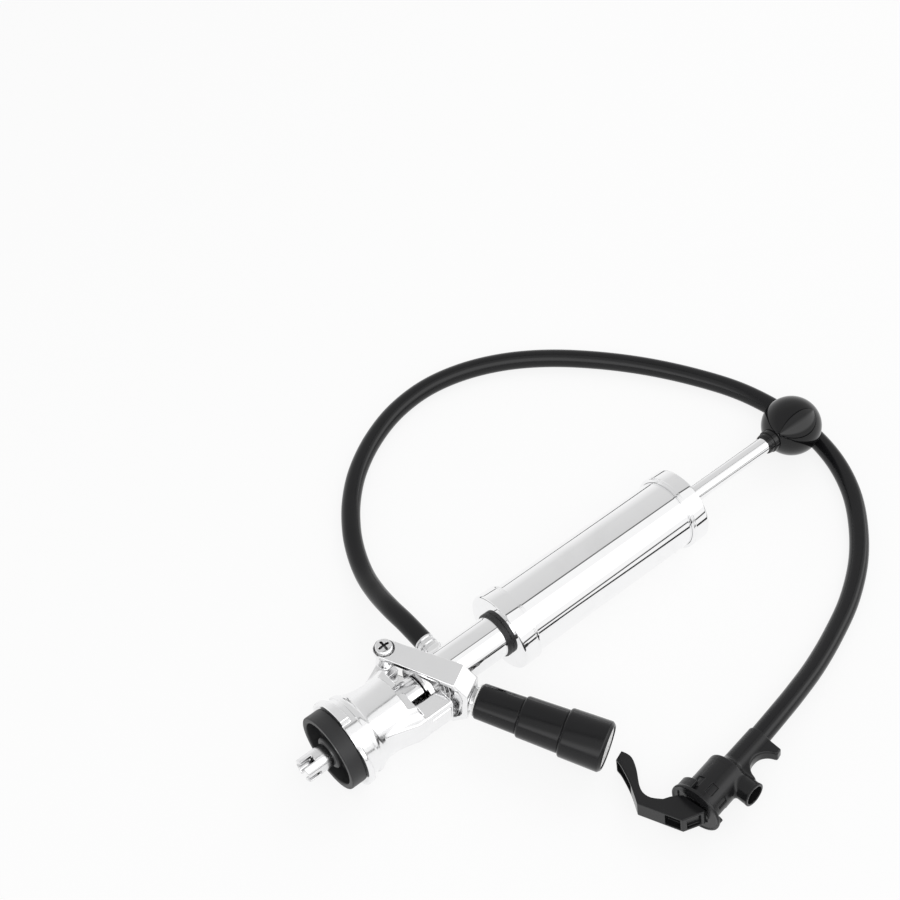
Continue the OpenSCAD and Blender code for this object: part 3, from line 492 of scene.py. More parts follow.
def casting_field(p):
    """Skirt, lip, two cam-shaped lugs, waist, guide cheek and pivot ear, joined by fillets, less the
    bore, the front recess, the flats of the fork, the throat and the hole of the pivot screw."""
    x, y, z = p.T
    rho = np.hypot(y, z)
    local = np.mod(np.arctan2(y, -z), 2 * np.pi)
    skirt = within(rho - SKIRT_R, -x, x - SKIRT_END, edge=0.9)
    curve = WAIST_R + WAIST_SWEEP - np.sqrt(WAIST_SWEEP**2 - np.clip(x - WAIST_X, -20, 20) ** 2)
    waist = within((rho - curve) * 0.95, WAIST_START - x, x - CASTING_END, edge=0.8)
    lip = within(rho - LIP_R, LIP_BORE - rho, span(x, LIP_X - 1.3, LIP_X + 1.2), edge=0.8)
    body = join(join(skirt, waist, 1.6), lip, 0.5)
    for first, last, rise, fall in LUGS:
        half = (last - first) / 2
        turn = np.mod(local - (first + last) / 2 + np.pi, 2 * np.pi) - np.pi
        height = LUG_MID + rho * np.sin(np.clip(turn, -1.3, 1.3)) * np.tan(LUG_SLOPE)
        fade = np.clip(np.minimum((turn + half) / rise, (half - turn) / fall), 0, 1)
        top = LUG_ROOT + (LUG_R - LUG_ROOT) * fade * (2 - fade)
        lug = within(rho - top, LUG_BORE - rho, x - height, -x, (np.abs(turn) - half) * rho, edge=0.8)
        body = join(body, lug, 0.7)
    flats = within(ARM_IN - ARM_GAP - np.abs(z), FLAT_X - x, edge=0.6)
    body = carve(body, flats, 0.7)
    cheek = meet(edges_of(p[:, :2], CHEEK), span(z, -CHEEK_HALF, CHEEK_HALF), 1.6)
    pad = within(span(x, 42, 54.5), span(y, -21.6, -18), span(z, -PAD_HALF, PAD_HALF), edge=0.8)
    body = join(join(body, cheek, 3.2), pad, 0.6)
    pivot = np.hypot(x - PIVOT[0], y - PIVOT[1])
    boss = within(pivot - BOSS_R, span(z, ARM_GAP - ARM_IN, ARM_IN - ARM_GAP), edge=0.5)
    gusset = meet(edges_of(p[:, :2], GUSSET), span(z, -GUSSET_HALF, GUSSET_HALF), 0.8)
    body = join(body, join(boss, gusset, 1.5), 1.2)
    bore = within(rho - CASTING_BORE, BORE_START - x, edge=0.4)
    recess = within(rho - RECESS_R, x - RECESS_END, edge=0.3)
    body = carve(carve(carve(body, bore, 0.5), recess, 0.4), rho - THROAT_R, 0.3)
    return carve(body, within(pivot - SCREW_BORE_R), 0.2)


def seal_field(p):
    """Ring with a tapered nose, its foot in the coupler's recess and a web open at four gas ports."""
    x, y, z = p.T
    rho = np.hypot(y, z)
    ring_part = within(rho - RING_R, RING_BORE - rho, span(x, RING_NOSE, -0.1), edge=0.7)
    foot = within(rho - 19.3, 16.1 - rho, span(x, -1.6, 2.9), edge=0.3)
    web = within(rho - 18.5, 9.6 - rho, span(x, 0.1, 2.9), edge=0.3)
    body = join(join(ring_part, foot, 0.5), web, 0.6)
    for i in range(PORTS):
        angle = 2 * np.pi * (i + PORT_SHIFT) / PORTS
        across = -z * np.cos(angle) + y * np.sin(angle)
        aside = z * np.sin(angle) + y * np.cos(angle)
        port = within(PORT_IN - across, across - PORT_OUT, span(aside, -PORT_HALF, PORT_HALF), edge=0.6)
        body = carve(body, port, 0.3)
    return body


class PUMP_OT_coupler(Operator):
    """Casting with its lugs, ear and cheek, the neck ring, and the pivot screw and nut"""

    bl_idname = "pump.coupler"
    bl_label = "Coupler"

    def execute(self, context):
        casting = cast("casting", casting_field, (-0.9, -25.2, -25.2), (57.0, 27.8, 25.3), 0.5, PUMP)
        dress(casting, "coupler_body")
        seal = cast("neck_ring", seal_field, (-9.4, -22.0, -22.0), (3.6, 22.1, 22.1), 0.45, PUMP)
        dress(seal, "neck_seal")
        low, high = (np.array(c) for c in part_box("pivot_screw"))
        head = Place([(low[0] + high[0]) / 2, (low[1] + high[1]) / 2, high[2]], (0, 0, -1), (1, 0, 0))
        length = (high[2] - low[2]) / MM

        def screw_field(p):
            """Pan head less its cross, on a shank with fine threads at its end."""
            x, y, z = p.T
            rho = np.hypot(y, z)
            pan = within(rho - HEAD_R + 0.06 * (HEAD_T - x) ** 2, 0.035 * rho**2 - x, x - HEAD_T, edge=0.5)
            wave = np.mod(x / THREAD_PITCH + np.arctan2(y, z) / (2 * np.pi), 1)
            thread = THREAD_DEPTH * np.abs(wave - 0.5) * 2
            shank = within(rho - SHANK_R + np.where(x > THREAD_START, thread, 0), span(x, 1, length), edge=0.2)
            body = join(pan, shank, 0.3)
            for a, b in ((y, z), (z, y)):
                slot = within(span(a, -CROSS_REACH, CROSS_REACH), span(b, -CROSS_HALF, CROSS_HALF),
                              x - CROSS_DEPTH, edge=0.15)
                body = carve(body, slot, 0.12)
            return body

        screw = cast("pivot_screw_piece", screw_field, (-0.5, -5.2, -5.2), (length + 0.6, 5.3, 5.3), 0.3, head)
        dress(screw, "pivot_screw")
        low, high = (np.array(c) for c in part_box("pivot_nut"))
        nut_place = Place([(low[0] + high[0]) / 2, (low[1] + high[1]) / 2, low[2]], (0, 0, 1), (1, 0, 0))

        def hexagon(angle):
            return np.cos(np.pi / 6) / np.cos(np.mod(angle, np.pi / 3) - np.pi / 6)

        flat_r = NUT_FLAT_R / np.cos(np.pi / 6)
        nut = [(0, NUT_BORE), (0, 3.4), (0.5, flat_r), (2.7, flat_r), (3.2, 3.4), (3.2, NUT_BORE), (0, NUT_BORE)]
        dress(turned("pivot_nut_piece", rounded(nut, 0.25), nut_place, 96, hexagon), "pivot_nut")
        return {"FINISHED"}


# Lever: outlines of the fork from the side and from above, in millimetres from its pivot
FORK_SIDE = [(-6, -18), (41.6, -18), (49.6, -10), (49.6, 10), (41.6, 18), (-6, 18)]
FORK_PLAN = [(0, -5.8), (41.6, -7), (49.6, -7), (49.6, 7), (41.6, 7), (0, 5.8)]
EYE_R, OPENING_END, OPENING_ROUND = 5.8, 46, 8.5
FORK_NECK_R, FORK_NECK_END = 6.5, 51.7
EYE_GROOVE_R, EYE_GROOVE_HALF, EYE_GROOVE_FROM = 5.05, 0.3, 17.3
DRIVE_PIN_X, LATCH_BORE = 24.0, 2.6

# Grip: its start and length, and the near and far radius of each step
GRIP_START, GRIP_LEN, GRIP_END_BORE, GRIP_END_DEPTH = 52.9, 70.0, 11.3, 3.0
GRIP_STEPS = [(9.5, 9.95), (11.1, 11.6), (13.0, 13.45)]


def fork_field(p):
    """Two arms and a bridge: an outline from the side with cut outer corners and a round-cornered
    opening, crossed with an outline from above, with a neck for the grip."""
    x, y, z = p.T
    from_eye = np.hypot(x, y)
    opening = within(span(x, -40, OPENING_END), span(z, -ARM_IN, ARM_IN), edge=OPENING_ROUND)
    plan = np.minimum(edges_of(p[:, :2], FORK_PLAN), from_eye - EYE_R)
    arms = meet(carve(edges_of(p[:, [0, 2]], FORK_SIDE), opening, 0.9), plan, 0.9)
    neck = within(np.hypot(y, z) - FORK_NECK_R, span(x, 48, FORK_NECK_END), edge=0.5)
    arms = join(arms, neck, 0.5)
    groove = within(np.abs(from_eye - EYE_GROOVE_R) - EYE_GROOVE_HALF, EYE_GROOVE_FROM - np.abs(z), edge=0.15)
    arms = carve(arms, groove, 0.15)
    return carve(arms, from_eye - SCREW_BORE_R, 0.2)


def grip_profile(start, length):
    """Three steps of the grip, each a little wider at its far end, with rounded shoulders, a fine
    groove at each step and a broad round at the end: pairs of place and radius."""
    step = length / len(GRIP_STEPS)
    line = [(start, LATCH_BORE), (start, 8.9), (start + 0.7, GRIP_STEPS[0][0])]
    for i, (near, far) in enumerate(GRIP_STEPS):
        x = start + i * step
        line += [(x + 0.9, near)] if i else []
        if i < len(GRIP_STEPS) - 1:
            line += [(x + step - 0.5, far), (x + step - 0.4, far - 0.35), (x + step, far - 0.35),
                     (x + step + 0.1, GRIP_STEPS[i + 1][0] - 0.6)]
    end = start + length
    floor = end - GRIP_END_DEPTH
    line += [(end - 1.6, GRIP_STEPS[-1][1]), (end, 12.0), (end, 11.4), (end - 0.5, GRIP_END_BORE),
             (floor, GRIP_END_BORE), (floor, LATCH_BORE), (start, LATCH_BORE)]
    return rounded(line, 0.5)


class PUMP_OT_lever(Operator):
    """Fork, its drive pins and washer, the latch rod, the stepped grip and its white end"""

    bl_idname = "pump.lever"
    bl_label = "Lever and grip"

    def execute(self, context):
        dress(cast("fork", fork_field, (-6.6, -7.8, -18.8), (52.5, 7.9, 18.9), 0.45, LEVER), "lever_fork")
        for node, up in (("drive_pin_top", 1), ("drive_pin_bottom", -1)):
            pin = LEVER.moved(DRIVE_PIN_X, forward=(0, 0, up), upward=(1, 0, 0))
            profile = rounded([(11.0, 0), (11.0, 3.0), (14.4, 3.0), (14.4, 1.9), (17.6, 1.9), (17.9, 0)], 0.3)
            dress(turned(node + "_piece", profile, pin, 64), node)
        washer = [(51.8, LATCH_BORE), (51.8, 8.5), (52.6, 8.5), (52.6, LATCH_BORE), (51.8, LATCH_BORE)]
        dress(turned("grip_washer_piece", rounded(washer, 0.2), LEVER, 96), "grip_washer")
        rod = [(44.7, 0), (44.7, 2.5), (119.9, 2.5), (119.9, 0)]
        dress(turned("latch_rod_piece", rounded(rod, 0.6), LEVER, 48), "latch_rod")
        dress(turned("grip_piece", grip_profile(GRIP_START, GRIP_LEN), LEVER, 160), "grip")
        cap = [(119.95, 0), (119.95, 11.2), (122.2, 11.2), (122.45, 9.6), (122.55, 5.0), (122.6, 0)]
        dress(turned("end_cap_piece", rounded(cap, 0.5), LEVER, 128), "grip_end_cap")
        return {"FINISHED"}


# Probe and stem: radii in millimetres, and where they end behind the coupler's face
TIP_R, TIP_START, TIP_SLOT_HALF, TIP_SLOT_END = 6.5, -23.7, 1.8, -16.7
SHAFT_R, SHAFT_END, BEER_WAY_R, SEAL_LAND_R, SEAL_RING_R = 8.5, 49.4, 4.0, 6.6, 8.8
STEM_R, STEM_END, STEM_BORE, WASHER_R = 11.9, 108.3, 9.5, 12.9
OUTLET_R, OUTLET_FACE, OUTLET_BORE, FLANGE_T, SPOOL_R = 6.5, 13.6, 4.1, 3.2, 10.6


def tip_field(p):
    """Tube of the probe with its cross slots, widening to the shaft behind the seal."""
    x, y, z = p.T
    rho = np.hypot(y, z)
    tip = within(rho - TIP_R, span(x, TIP_START, 5), edge=0.7)
    shaft = within(rho - SHAFT_R, span(x, 4.1, SHAFT_END), edge=0.4)
    body = carve(join(tip, shaft, 0.3), rho - BEER_WAY_R, 0.4)
    for a in (y, z):
        body = carve(body, within(span(a, -TIP_SLOT_HALF, TIP_SLOT_HALF), x - TIP_SLOT_END, edge=0.5), 0.3)
    return body


class PUMP_OT_probe(Operator):
    """Hollow probe with its seal, the spool that the lever drives, the stem and the hose outlet"""

    bl_idname = "pump.probe"
    bl_label = "Probe and stem"

    def execute(self, context):
        dress(cast("probe_tip", tip_field, (-24.4, -9.0, -9.0), (50.0, 9.1, 9.1), 0.45, PUMP), "probe_tube")
        land, ring = SEAL_LAND_R, SEAL_RING_R
        seal = [(-8.2, land), (-8.2, 8.2), (-7.6, ring), (-3.4, ring), (-3.2, 7.9), (-1.2, 7.9), (-1.0, ring),
                (3.9, ring), (3.9, land), (-8.2, land)]
        dress(turned("probe_seal_piece", rounded(seal, 0.35)), "probe_seal")
        x0, x1 = ends("drive_collar")
        flange, bore = half_height("drive_collar"), BEER_WAY_R
        spool = [(x0, bore), (x0, flange), (x0 + FLANGE_T, flange), (x0 + FLANGE_T, SPOOL_R),
                 (x1 - FLANGE_T, SPOOL_R), (x1 - FLANGE_T, flange), (x1, flange), (x1, bore), (x0, bore)]
        dress(turned("spool", rounded(spool, 0.5)), "drive_collar")

        def stem_field(p):
            """Stem and the round boss of the outlet, joined by a fillet, both bored."""
            x, y, z = p.T
            rho, out = np.hypot(y, z), np.hypot(x - OUTLET_X, z)
            stem = within(rho - STEM_R, span(x, x1, STEM_END), edge=0.3)
            boss = within(out - OUTLET_R, -y, y - OUTLET_FACE, edge=0.4)
            body = carve(join(stem, boss, 1.4), rho - STEM_BORE, 0.2)
            return carve(body, within(out - OUTLET_BORE, -y), 0.3)

        dress(cast("stem_piece", stem_field, (x1 - 0.8, -12.6, -12.6), (109.0, 14.4, 12.7), 0.5, PUMP), "stem_tube")
        w0, w1 = ends("stem_washer")
        bore = STEM_R + 0.05
        washer = [(w0, bore), (w0, WASHER_R), (w1, WASHER_R), (w1, bore), (w0, bore)]
        dress(turned("stem_washer_piece", rounded(washer, 0.8)), "stem_washer")
        ring = [(13.6, 4.2), (13.6, 5.6), (15.2, 5.6), (15.5, 5.1), (16.3, 5.1), (16.6, 5.6), (18.4, 5.6), (18.7, 5.1),
                (19.5, 5.1), (19.8, 5.6), (21.0, 5.6), (21.0, 2.0), (11.2, 2.0), (11.2, 4.0), (13.6, 4.2)]
        dress(turned("outlet_sleeve", rounded(ring, 0.3), OUTLET, 96), "hose_barb")
        return {"FINISHED"}


# Cylinder: radii of tube and caps, depth of a cap's face, and radii of the rod and its gland
TUBE_R, TUBE_BORE, CAP_R, CAP_BORE, CAP_FACE = 20.35, 19.2, 22.3, 20.45, 4.6
ROD_R, ROD_END_R, ROD_BORE, GLAND_R, GLAND_HEAD_R = 4.9, 3.0, 5.0, 6.8, 8.5


def cap_profile(start, face_bore, inwards):
    """A cap from its face to its lip: rounded rim, fine line and bead at the tube, as a closed line."""
    line = [(0, face_bore), (0, CAP_R), (9.4, CAP_R), (9.6, 21.9), (10.2, 21.9), (10.5, 22.2), (11.3, 22.2),
            (11.5, CAP_BORE), (CAP_FACE, CAP_BORE), (CAP_FACE, face_bore), (0, face_bore)]
    reach = np.array([1.5, 0.2, 0.2, 0.2, 0.3, 0.3, 0.2, 0.1, 0.1])
    return [(start + inwards * x, r) for x, r in rounded(line, reach)]


class PUMP_OT_cylinder(Operator):
    """Drawn tube between its two caps, with the gland of the rod"""

    bl_idname = "pump.cylinder"
    bl_label = "Cylinder"

    def execute(self, context):
        x0, x1 = ends("cylinder_tube")
        tube = [(x0, TUBE_BORE), (x0, TUBE_R), (x1, TUBE_R), (x1, TUBE_BORE), (x0, TUBE_BORE)]
        dress(turned("tube", rounded(tube, 0.15), around=256), "cylinder_tube")
        dress(turned("lower_cap", cap_profile(ends("bottom_cap")[0], STEM_R + 0.08, 1), around=256), "bottom_cap")
        dress(turned("upper_cap", cap_profile(ends("top_cap")[1], GLAND_R + 0.1, -1), around=256), "top_cap")
        g0, g1 = ends("rod_bushing")
        gland = [(g0, ROD_BORE), (g0, GLAND_R), (g1 - 2.4, GLAND_R), (g1 - 2.4, GLAND_HEAD_R), (g1, GLAND_HEAD_R),
                 (g1, ROD_BORE), (g0, ROD_BORE)]
        dress(turned("gland", rounded(gland, 0.5)), "rod_bushing")
        return {"FINISHED"}


class PUMP_OT_rod(Operator):
    """Rod, stepped ferrule and ball knob"""

    bl_idname = "pump.rod"
    bl_label = "Rod and knob"

    def execute(self, context):
        r0, r1 = ends("piston_rod")
        rod = [(r0, 0), (r0, ROD_END_R), (r0 + 16, ROD_END_R), (r0 + 16, ROD_R), (r1, ROD_R), (r1, 0)]
        dress(turned("rod", rounded(rod, 0.3), around=128), "piston_rod")
        f0, f1 = ends("knob_ferrule")
        ferrule = [(f0, ROD_BORE), (f0, 5.7), (f0 + 1.6, 6.1), (f0 + 1.75, 5.9), (f0 + 3.5, 5.9),
                   (f0 + 3.6, 6.7), (f1, 6.7), (f1, ROD_BORE), (f0, ROD_BORE)]
        dress(turned("ferrule", rounded(ferrule, 0.25)), "knob_ferrule")
        k0, k1 = ends("ball_knob")
        radius = half_height("ball_knob")
        centre = k1 - radius
        angle = np.linspace(np.arccos((k0 - centre) / radius), 0, 120)
        ball = np.column_stack([centre + radius * np.cos(angle), radius * np.sin(angle)])
        ball[-1, 1] = 0
        seat = [(r1 + 0.08, 0), (r1 + 0.08, ROD_BORE), (k0, ROD_BORE)]
        dress(turned("knob", np.vstack([seat, ball]), around=192), "ball_knob")
        return {"FINISHED"}


# Hose: points of its centre line, written in millimetres behind and beside the coupler's face and
# over the table, and the counts of rings and sides
HOSE_ROUTE = np.array([
    [70, 21, 22.3], [70, 36, 22], [70.5, 50, 19], [73, 66, 13], [77, 82, 8],
    [83, 98, 6], [91, 113, 5.6], [103, 129, 5.6], [119, 144, 5.6], [140, 157, 5.6],
    [164, 166, 5.6], [190, 169, 5.6], [216, 165, 5.6], [241, 155, 5.6], [264, 140, 5.6],
    [286, 120, 5.6], [306, 97, 5.6], [323, 72, 5.6], [336, 47, 5.6], [343, 22, 5.6],
    [345, -2, 5.6], [341, -26, 5.6], [331, -48, 5.6], [316, -67, 5.6], [297, -84, 5.6],
    [274, -98, 5.6], [250, -108, 6.5], [226, -116, 9], [204, -121.5, 12], [187, -125, 14],
    [170, -128, 14.5]]) * MM
HOSE_STEPS, HOSE_SIDES = 460, 40


def along_route(points, steps):
    """Points on the smooth curve through a list: each stretch is the cubic whose slope at a point is
    half the way from the one before it to the one after."""
    t = np.linspace(0, len(points) - 1, steps)
    i = np.minimum(t.astype(int), len(points) - 2)
    s = (t - i)[:, None]
    last = len(points) - 1
    a, b, c, d = (points[np.clip(i + k, 0, last)] for k in (-1, 0, 1, 2))
    return 0.5 * (2 * b + (c - a) * s + (2 * a - 5 * b + 4 * c - d) * s**2 + (3 * b - a - 3 * c + d) * s**3)


class PUMP_OT_hose(Operator):
    """Beer hose from the outlet round the pump to the tap: a circle carried along its route"""

    bl_idname = "pump.hose"
    bl_label = "Hose"

    def execute(self, context):
        centres = along_route(HOSE_ROUTE, HOSE_STEPS) + [FACE[0], FACE[1], 0]
        ahead = np.gradient(centres, axis=0)
        ahead[0] = (0, 1, 0)
        ahead[-1] = -TAP.rows[0]
        ahead /= np.linalg.norm(ahead, axis=1, keepdims=True)
        side = np.cross(ahead, [0, 0, 1])
        side /= np.linalg.norm(side, axis=1, keepdims=True)
        up = np.cross(side, ahead)
        angle = np.linspace(0, 2 * np.pi, HOSE_SIDES, endpoint=False)[None, :, None]
        radius = context.scene.pump_sizes.hose_diameter / 2
        rings = centres[:, None] + radius * (np.cos(angle) * side[:, None] + np.sin(angle) * up[:, None])
        first, last = (np.repeat(centres[i, None, None], HOSE_SIDES, 1) for i in (0, -1))
        rings = np.concatenate([first, rings, last])
        faces = grid_faces(len(rings), HOSE_SIDES, True)
        hose = shell("hose", (rings.reshape(-1, 3) - FACE) / MM, faces, Place(FACE))
        dress(hose, "beer_hose")
        made["hose"], made["hose_path"] = hose, centres
        return {"FINISHED"}


# Tap: sizes in millimetres along its own axis, from the collar's face to the inlet
BARREL_R, BARREL_LEN, NECK_R, TAP_LEN = 11.0, 26.0, 6.3, 52.5
CHAMBER_R, CHAMBER_END, HOSE_BORE, HOSE_BORE_END = 9.2, 24.2, 4.1, 50.7
SPOUT_U, SPOUT_R, SPOUT_BORE, SPOUT_LEAN, SPOUT_REACH = 23.6, 6.5, 5.2, np.radians(3.0), 18.5
CLIPS, CLIP_HALF, CLIP_START, CLIP_END, CLIP_FLOOR = 8, 1.9, 4.2, 10.2, 10.3
HOOK = [(SPOUT_U, 0), (TAP_LEN, 0), (52.4, -6.9), (51.4, -13.9), (46.8, -14.7), (SPOUT_U, -13.8)]
HOOK_HALF, FINGER, FINGER_R = 3.5, (38.6, -15.4), 8.8

# Collar: the radii of flange, rim, wings and plug, and half the thickness and the width of the block
# of the thumb lever that nests in it
FLANGE_R, RIM_BORE, WING_R, PLUG_R, PLUG_BORE, BLOCK_HALF, POCKET_HALF = 14.5, 13.2, 14.2, 9.1, 2.5, 5.5, 4.0

# Thumb lever: the outer and inner side of its arm and the corners of its block, from its pin
ARM_OUTER = np.array([[-10.5, 21.8], [-3.6, 31.6], [1.6, 41.4], [3.1, 46.0]])
ARM_INNER = np.array([[8.8, 47.2], [9.2, 41.4], [5.2, 34.9], [-2.6, 26.2], [-3.9, 19.6], [-0.6, 13.4]])
BLOCK = [(2.4, 11.6), (4.9, 9.6), (7.1, 7.0), (7.1, -6.8), (5.6, -6.9), (-4.3, -1.6)]


def tap_field(p):
    """Barrel with clip slots, shoulder, neck, spout and finger hook, joined by fillets, all bored."""
    u, v, w = p.T
    rho = np.hypot(v, w)
    barrel = within(rho - BARREL_R, span(u, 0, BARREL_LEN), edge=0.8)
    slope = np.clip(u - BARREL_LEN, 0, 9) * 1.15
    shoulder = within((rho - BARREL_R + 0.6 + slope) * 0.66, span(u, BARREL_LEN - 3, BARREL_LEN + 4.5), edge=0.5)
    neck = within(rho - NECK_R, span(u, BARREL_LEN - 6, TAP_LEN), edge=0.7)
    body = join(join(barrel, shoulder, 1.0), neck, 1.6)
    out = -(v * np.cos(SPOUT_LEAN) + (u - SPOUT_U) * np.sin(SPOUT_LEAN))
    aside = (u - SPOUT_U) * np.cos(SPOUT_LEAN) - v * np.sin(SPOUT_LEAN)
    round_spout = np.hypot(aside, w)
    spout = within(round_spout - SPOUT_R + 0.035 * (SPOUT_REACH - out), -out, out - SPOUT_REACH, edge=0.3)
    rim = within(round_spout - SPOUT_R - 0.05, span(out, SPOUT_REACH - 1.3, SPOUT_REACH), edge=0.4)
    body = join(join(body, spout, 1.8), rim, 0.4)
    finger = FINGER_R - np.hypot(u - FINGER[0], v - FINGER[1])
    hook = meet(edges_of(p[:, :2], HOOK), span(w, -HOOK_HALF, HOOK_HALF), 1.4)
    body = join(body, meet(hook, finger, 1.6), 1.8)
    turn = np.mod(np.arctan2(v, w), 2 * np.pi / CLIPS) - np.pi / CLIPS
    clip = within(span(turn * rho, -CLIP_HALF, CLIP_HALF), span(u, CLIP_START, CLIP_END), CLIP_FLOOR - rho, edge=0.25)
    body = carve(body, clip, 0.25)
    body = carve(body, within(rho - CHAMBER_R, u - CHAMBER_END, edge=0.3), 0.2)
    body = carve(body, within(rho - HOSE_BORE, u - HOSE_BORE_END, edge=0.2), 0.2)
    return carve(body, within(round_spout - SPOUT_BORE, -out), 0.3)


def collar_field(p):
    """Flange with a raised rim and wings at its back, a plug inside the barrel, and the window that
    the thumb lever nests in."""
    u, v, w = p.T
    rho = np.hypot(v, w)
    flange = within(rho - FLANGE_R, span(u, -1.6, -0.02), edge=0.5)
    flange = carve(flange, within(rho - RIM_BORE, u + 1.25, edge=0.2), 0.15)
    turn = np.arctan2(v, w)
    wing = within(rho - WING_R, BARREL_R + 0.3 - rho, span(u, -0.6, 5.6), edge=0.5)
    wing = meet(wing, np.abs(np.mod(turn - 2.2, np.pi) - np.pi / 2) * 12 - 4.6, 0.6)
    body = join(flange, wing, 0.5)
    body = join(body, within(rho - PLUG_R, span(u, -1, 4.2), edge=0.3), 0.2)
    half = BLOCK_HALF + 0.5
    body = carve(body, within(span(v, -7.4, 10.6), span(w, -half, half), u + 0.5, edge=0.4), 0.3)
    return carve(body, rho - PLUG_BORE, 0.2)


def thumb_field(p):
    """Block that nests in the collar and an arm that bends to a blunt tip, with two moulded pockets
    in the block and a scoop along the arm's outer side."""
    x, y, z = p.T
    outer, inner = along_route(ARM_OUTER, 13), along_route(ARM_INNER, 19)
    plan = edges_of(p[:, :2], [*outer, *inner, *BLOCK])
    body = meet(plan - 0.15, span(z, -BLOCK_HALF, BLOCK_HALF), 0.8)
    middle = edges_of(p[:, :2], [*(outer[4:] + (-4, 0)), *(outer[4:][::-1] + (1.9, -0.4))])
    scoop = meet(middle, span(z, -3.9, 3.9), 0.5)
    (x0, y0), (x1, y1) = outer[0], BLOCK[-1]
    length = np.hypot(x1 - x0, y1 - y0)
    along = ((x - x0) * (x1 - x0) + (y - y0) * (y1 - y0)) / length
    depth = ((x - x0) * (y0 - y1) + (y - y0) * (x1 - x0)) / length
    across = span(z, -POCKET_HALF, POCKET_HALF)
    side = within(span(along, length - 9.5, length - 1.4), across, np.abs(depth) - 3.4, edge=0.4)
    end = within(span(x, -2.2, 4.4), across, y + 0.535 * (x + 4.3) - 0.2, edge=0.4)
    for pocket in (scoop, side, end):
        body = carve(body, pocket, 0.35)
    return body


class PUMP_OT_tap(Operator):
    """Tap housing with its spout and finger hook, the collar, the thumb lever and its pin"""

    bl_idname = "pump.tap"
    bl_label = "Tap"

    def execute(self, context):
        housing = cast("tap_housing", tap_field, (-0.7, -19.4, -11.8), (53.4, 11.9, 11.9), 0.42, TAP)
        dress(housing, "tap_body")
        collar = cast("tap_collar_piece", collar_field, (-2.3, -15.2, -15.2), (6.4, 15.3, 15.3), 0.4, TAP)
        dress(collar, "tap_collar")
        thumb = cast("thumb_lever", thumb_field, (-11.8, -7.9, -6.3), (10.3, 48.4, 6.4), 0.4, TAP_LEVER)
        dress(thumb, "tap_lever")
        pin = TAP_LEVER.moved(0, forward=(0, 0, 1), upward=(1, 0, 0))
        profile = rounded([(-5.2, 0), (-5.2, 1.5), (5.2, 1.5), (5.2, 0)], 0.3)
        pin = dress(turned("thumb_pin", profile, pin, 48), "tap_lever_pin")
        return {"FINISHED"}


class PUMP_OT_inner_parts(Operator):
    """Finishes of the parts inside the pump, whose frame solids are shown as they are"""

    bl_idname = "pump.inner_parts"
    bl_label = "Inner parts"

    def execute(self, context):
        shown = [node for node in frame["nodes"] if node in SLOT_OF and node not in dressed]
        for node in shown:
            slots = frame["nodes"][node].data.materials
            slots.clear()
            slots.append(getattr(finishes(), SLOT_OF[node]))
        return {"FINISHED"}


# Camera: its place and view in metres, its lens in millimetres for a picture that is 36 mm wide
CAMERA_PLACE = (-0.3645, -0.3093, 0.7457)
CAMERA_VIEW = (0.3952, 0.4831, -0.7813)
CAMERA_LENS, PICTURE_WIDTH = 64.19, 36.0

# Studio: the share of the floor's own glow and the strength of the sky's light, the lamps with
# name, place, size and power, and the mirrored screens as share of the way over from front to back
# and brightness
WHITE = (1.0, 1.0, 1.0, 1.0)
FLOOR_GLOW, SKY_LIGHT = 0.85, 0.62
LAMPS = (("key", (-0.5, -0.6, 1.1), 0.9, 5.5), ("fill", (0.8, 0.3, 0.9), 0.8, 2.5))
SCREENS = [(0.0, 0.9), (0.07, 0.9), (0.078, 0.05), (0.095, 0.05), (0.103, 1.0), (0.17, 1.0), (0.21, 2.4),
           (0.33, 2.4), (0.40, 1.0), (0.50, 1.0), (0.506, 0.06), (0.516, 0.06), (0.522, 0.70), (0.78, 0.74),
           (0.92, 0.95), (1.0, 0.95)]
BELOW_TABLE = 0.3   # reach of the screens below the horizon, in radians


class PUMP_OT_camera(Operator):
    """Camera at the photograph's angle"""

    bl_idname = "pump.camera"
    bl_label = "Camera"

    def execute(self, context):
        data = bpy.data.cameras.new("camera")
        data.lens = CAMERA_LENS
        data.sensor_width = PICTURE_WIDTH
        data.clip_start = 0.01
        camera = bpy.data.objects.new("camera", data)
        context.scene.collection.objects.link(camera)
        view = np.array(CAMERA_VIEW) / np.linalg.norm(CAMERA_VIEW)
        right = np.cross(view, [0, 0, 1])
        right /= np.linalg.norm(right)
        matrix = np.eye(4)
        matrix[:3, :3] = np.column_stack([right, np.cross(right, view), -view])
        matrix[:3, 3] = CAMERA_PLACE
        camera.matrix_world = Matrix(matrix.tolist())
        context.scene.camera = camera
        return {"FINISHED"}


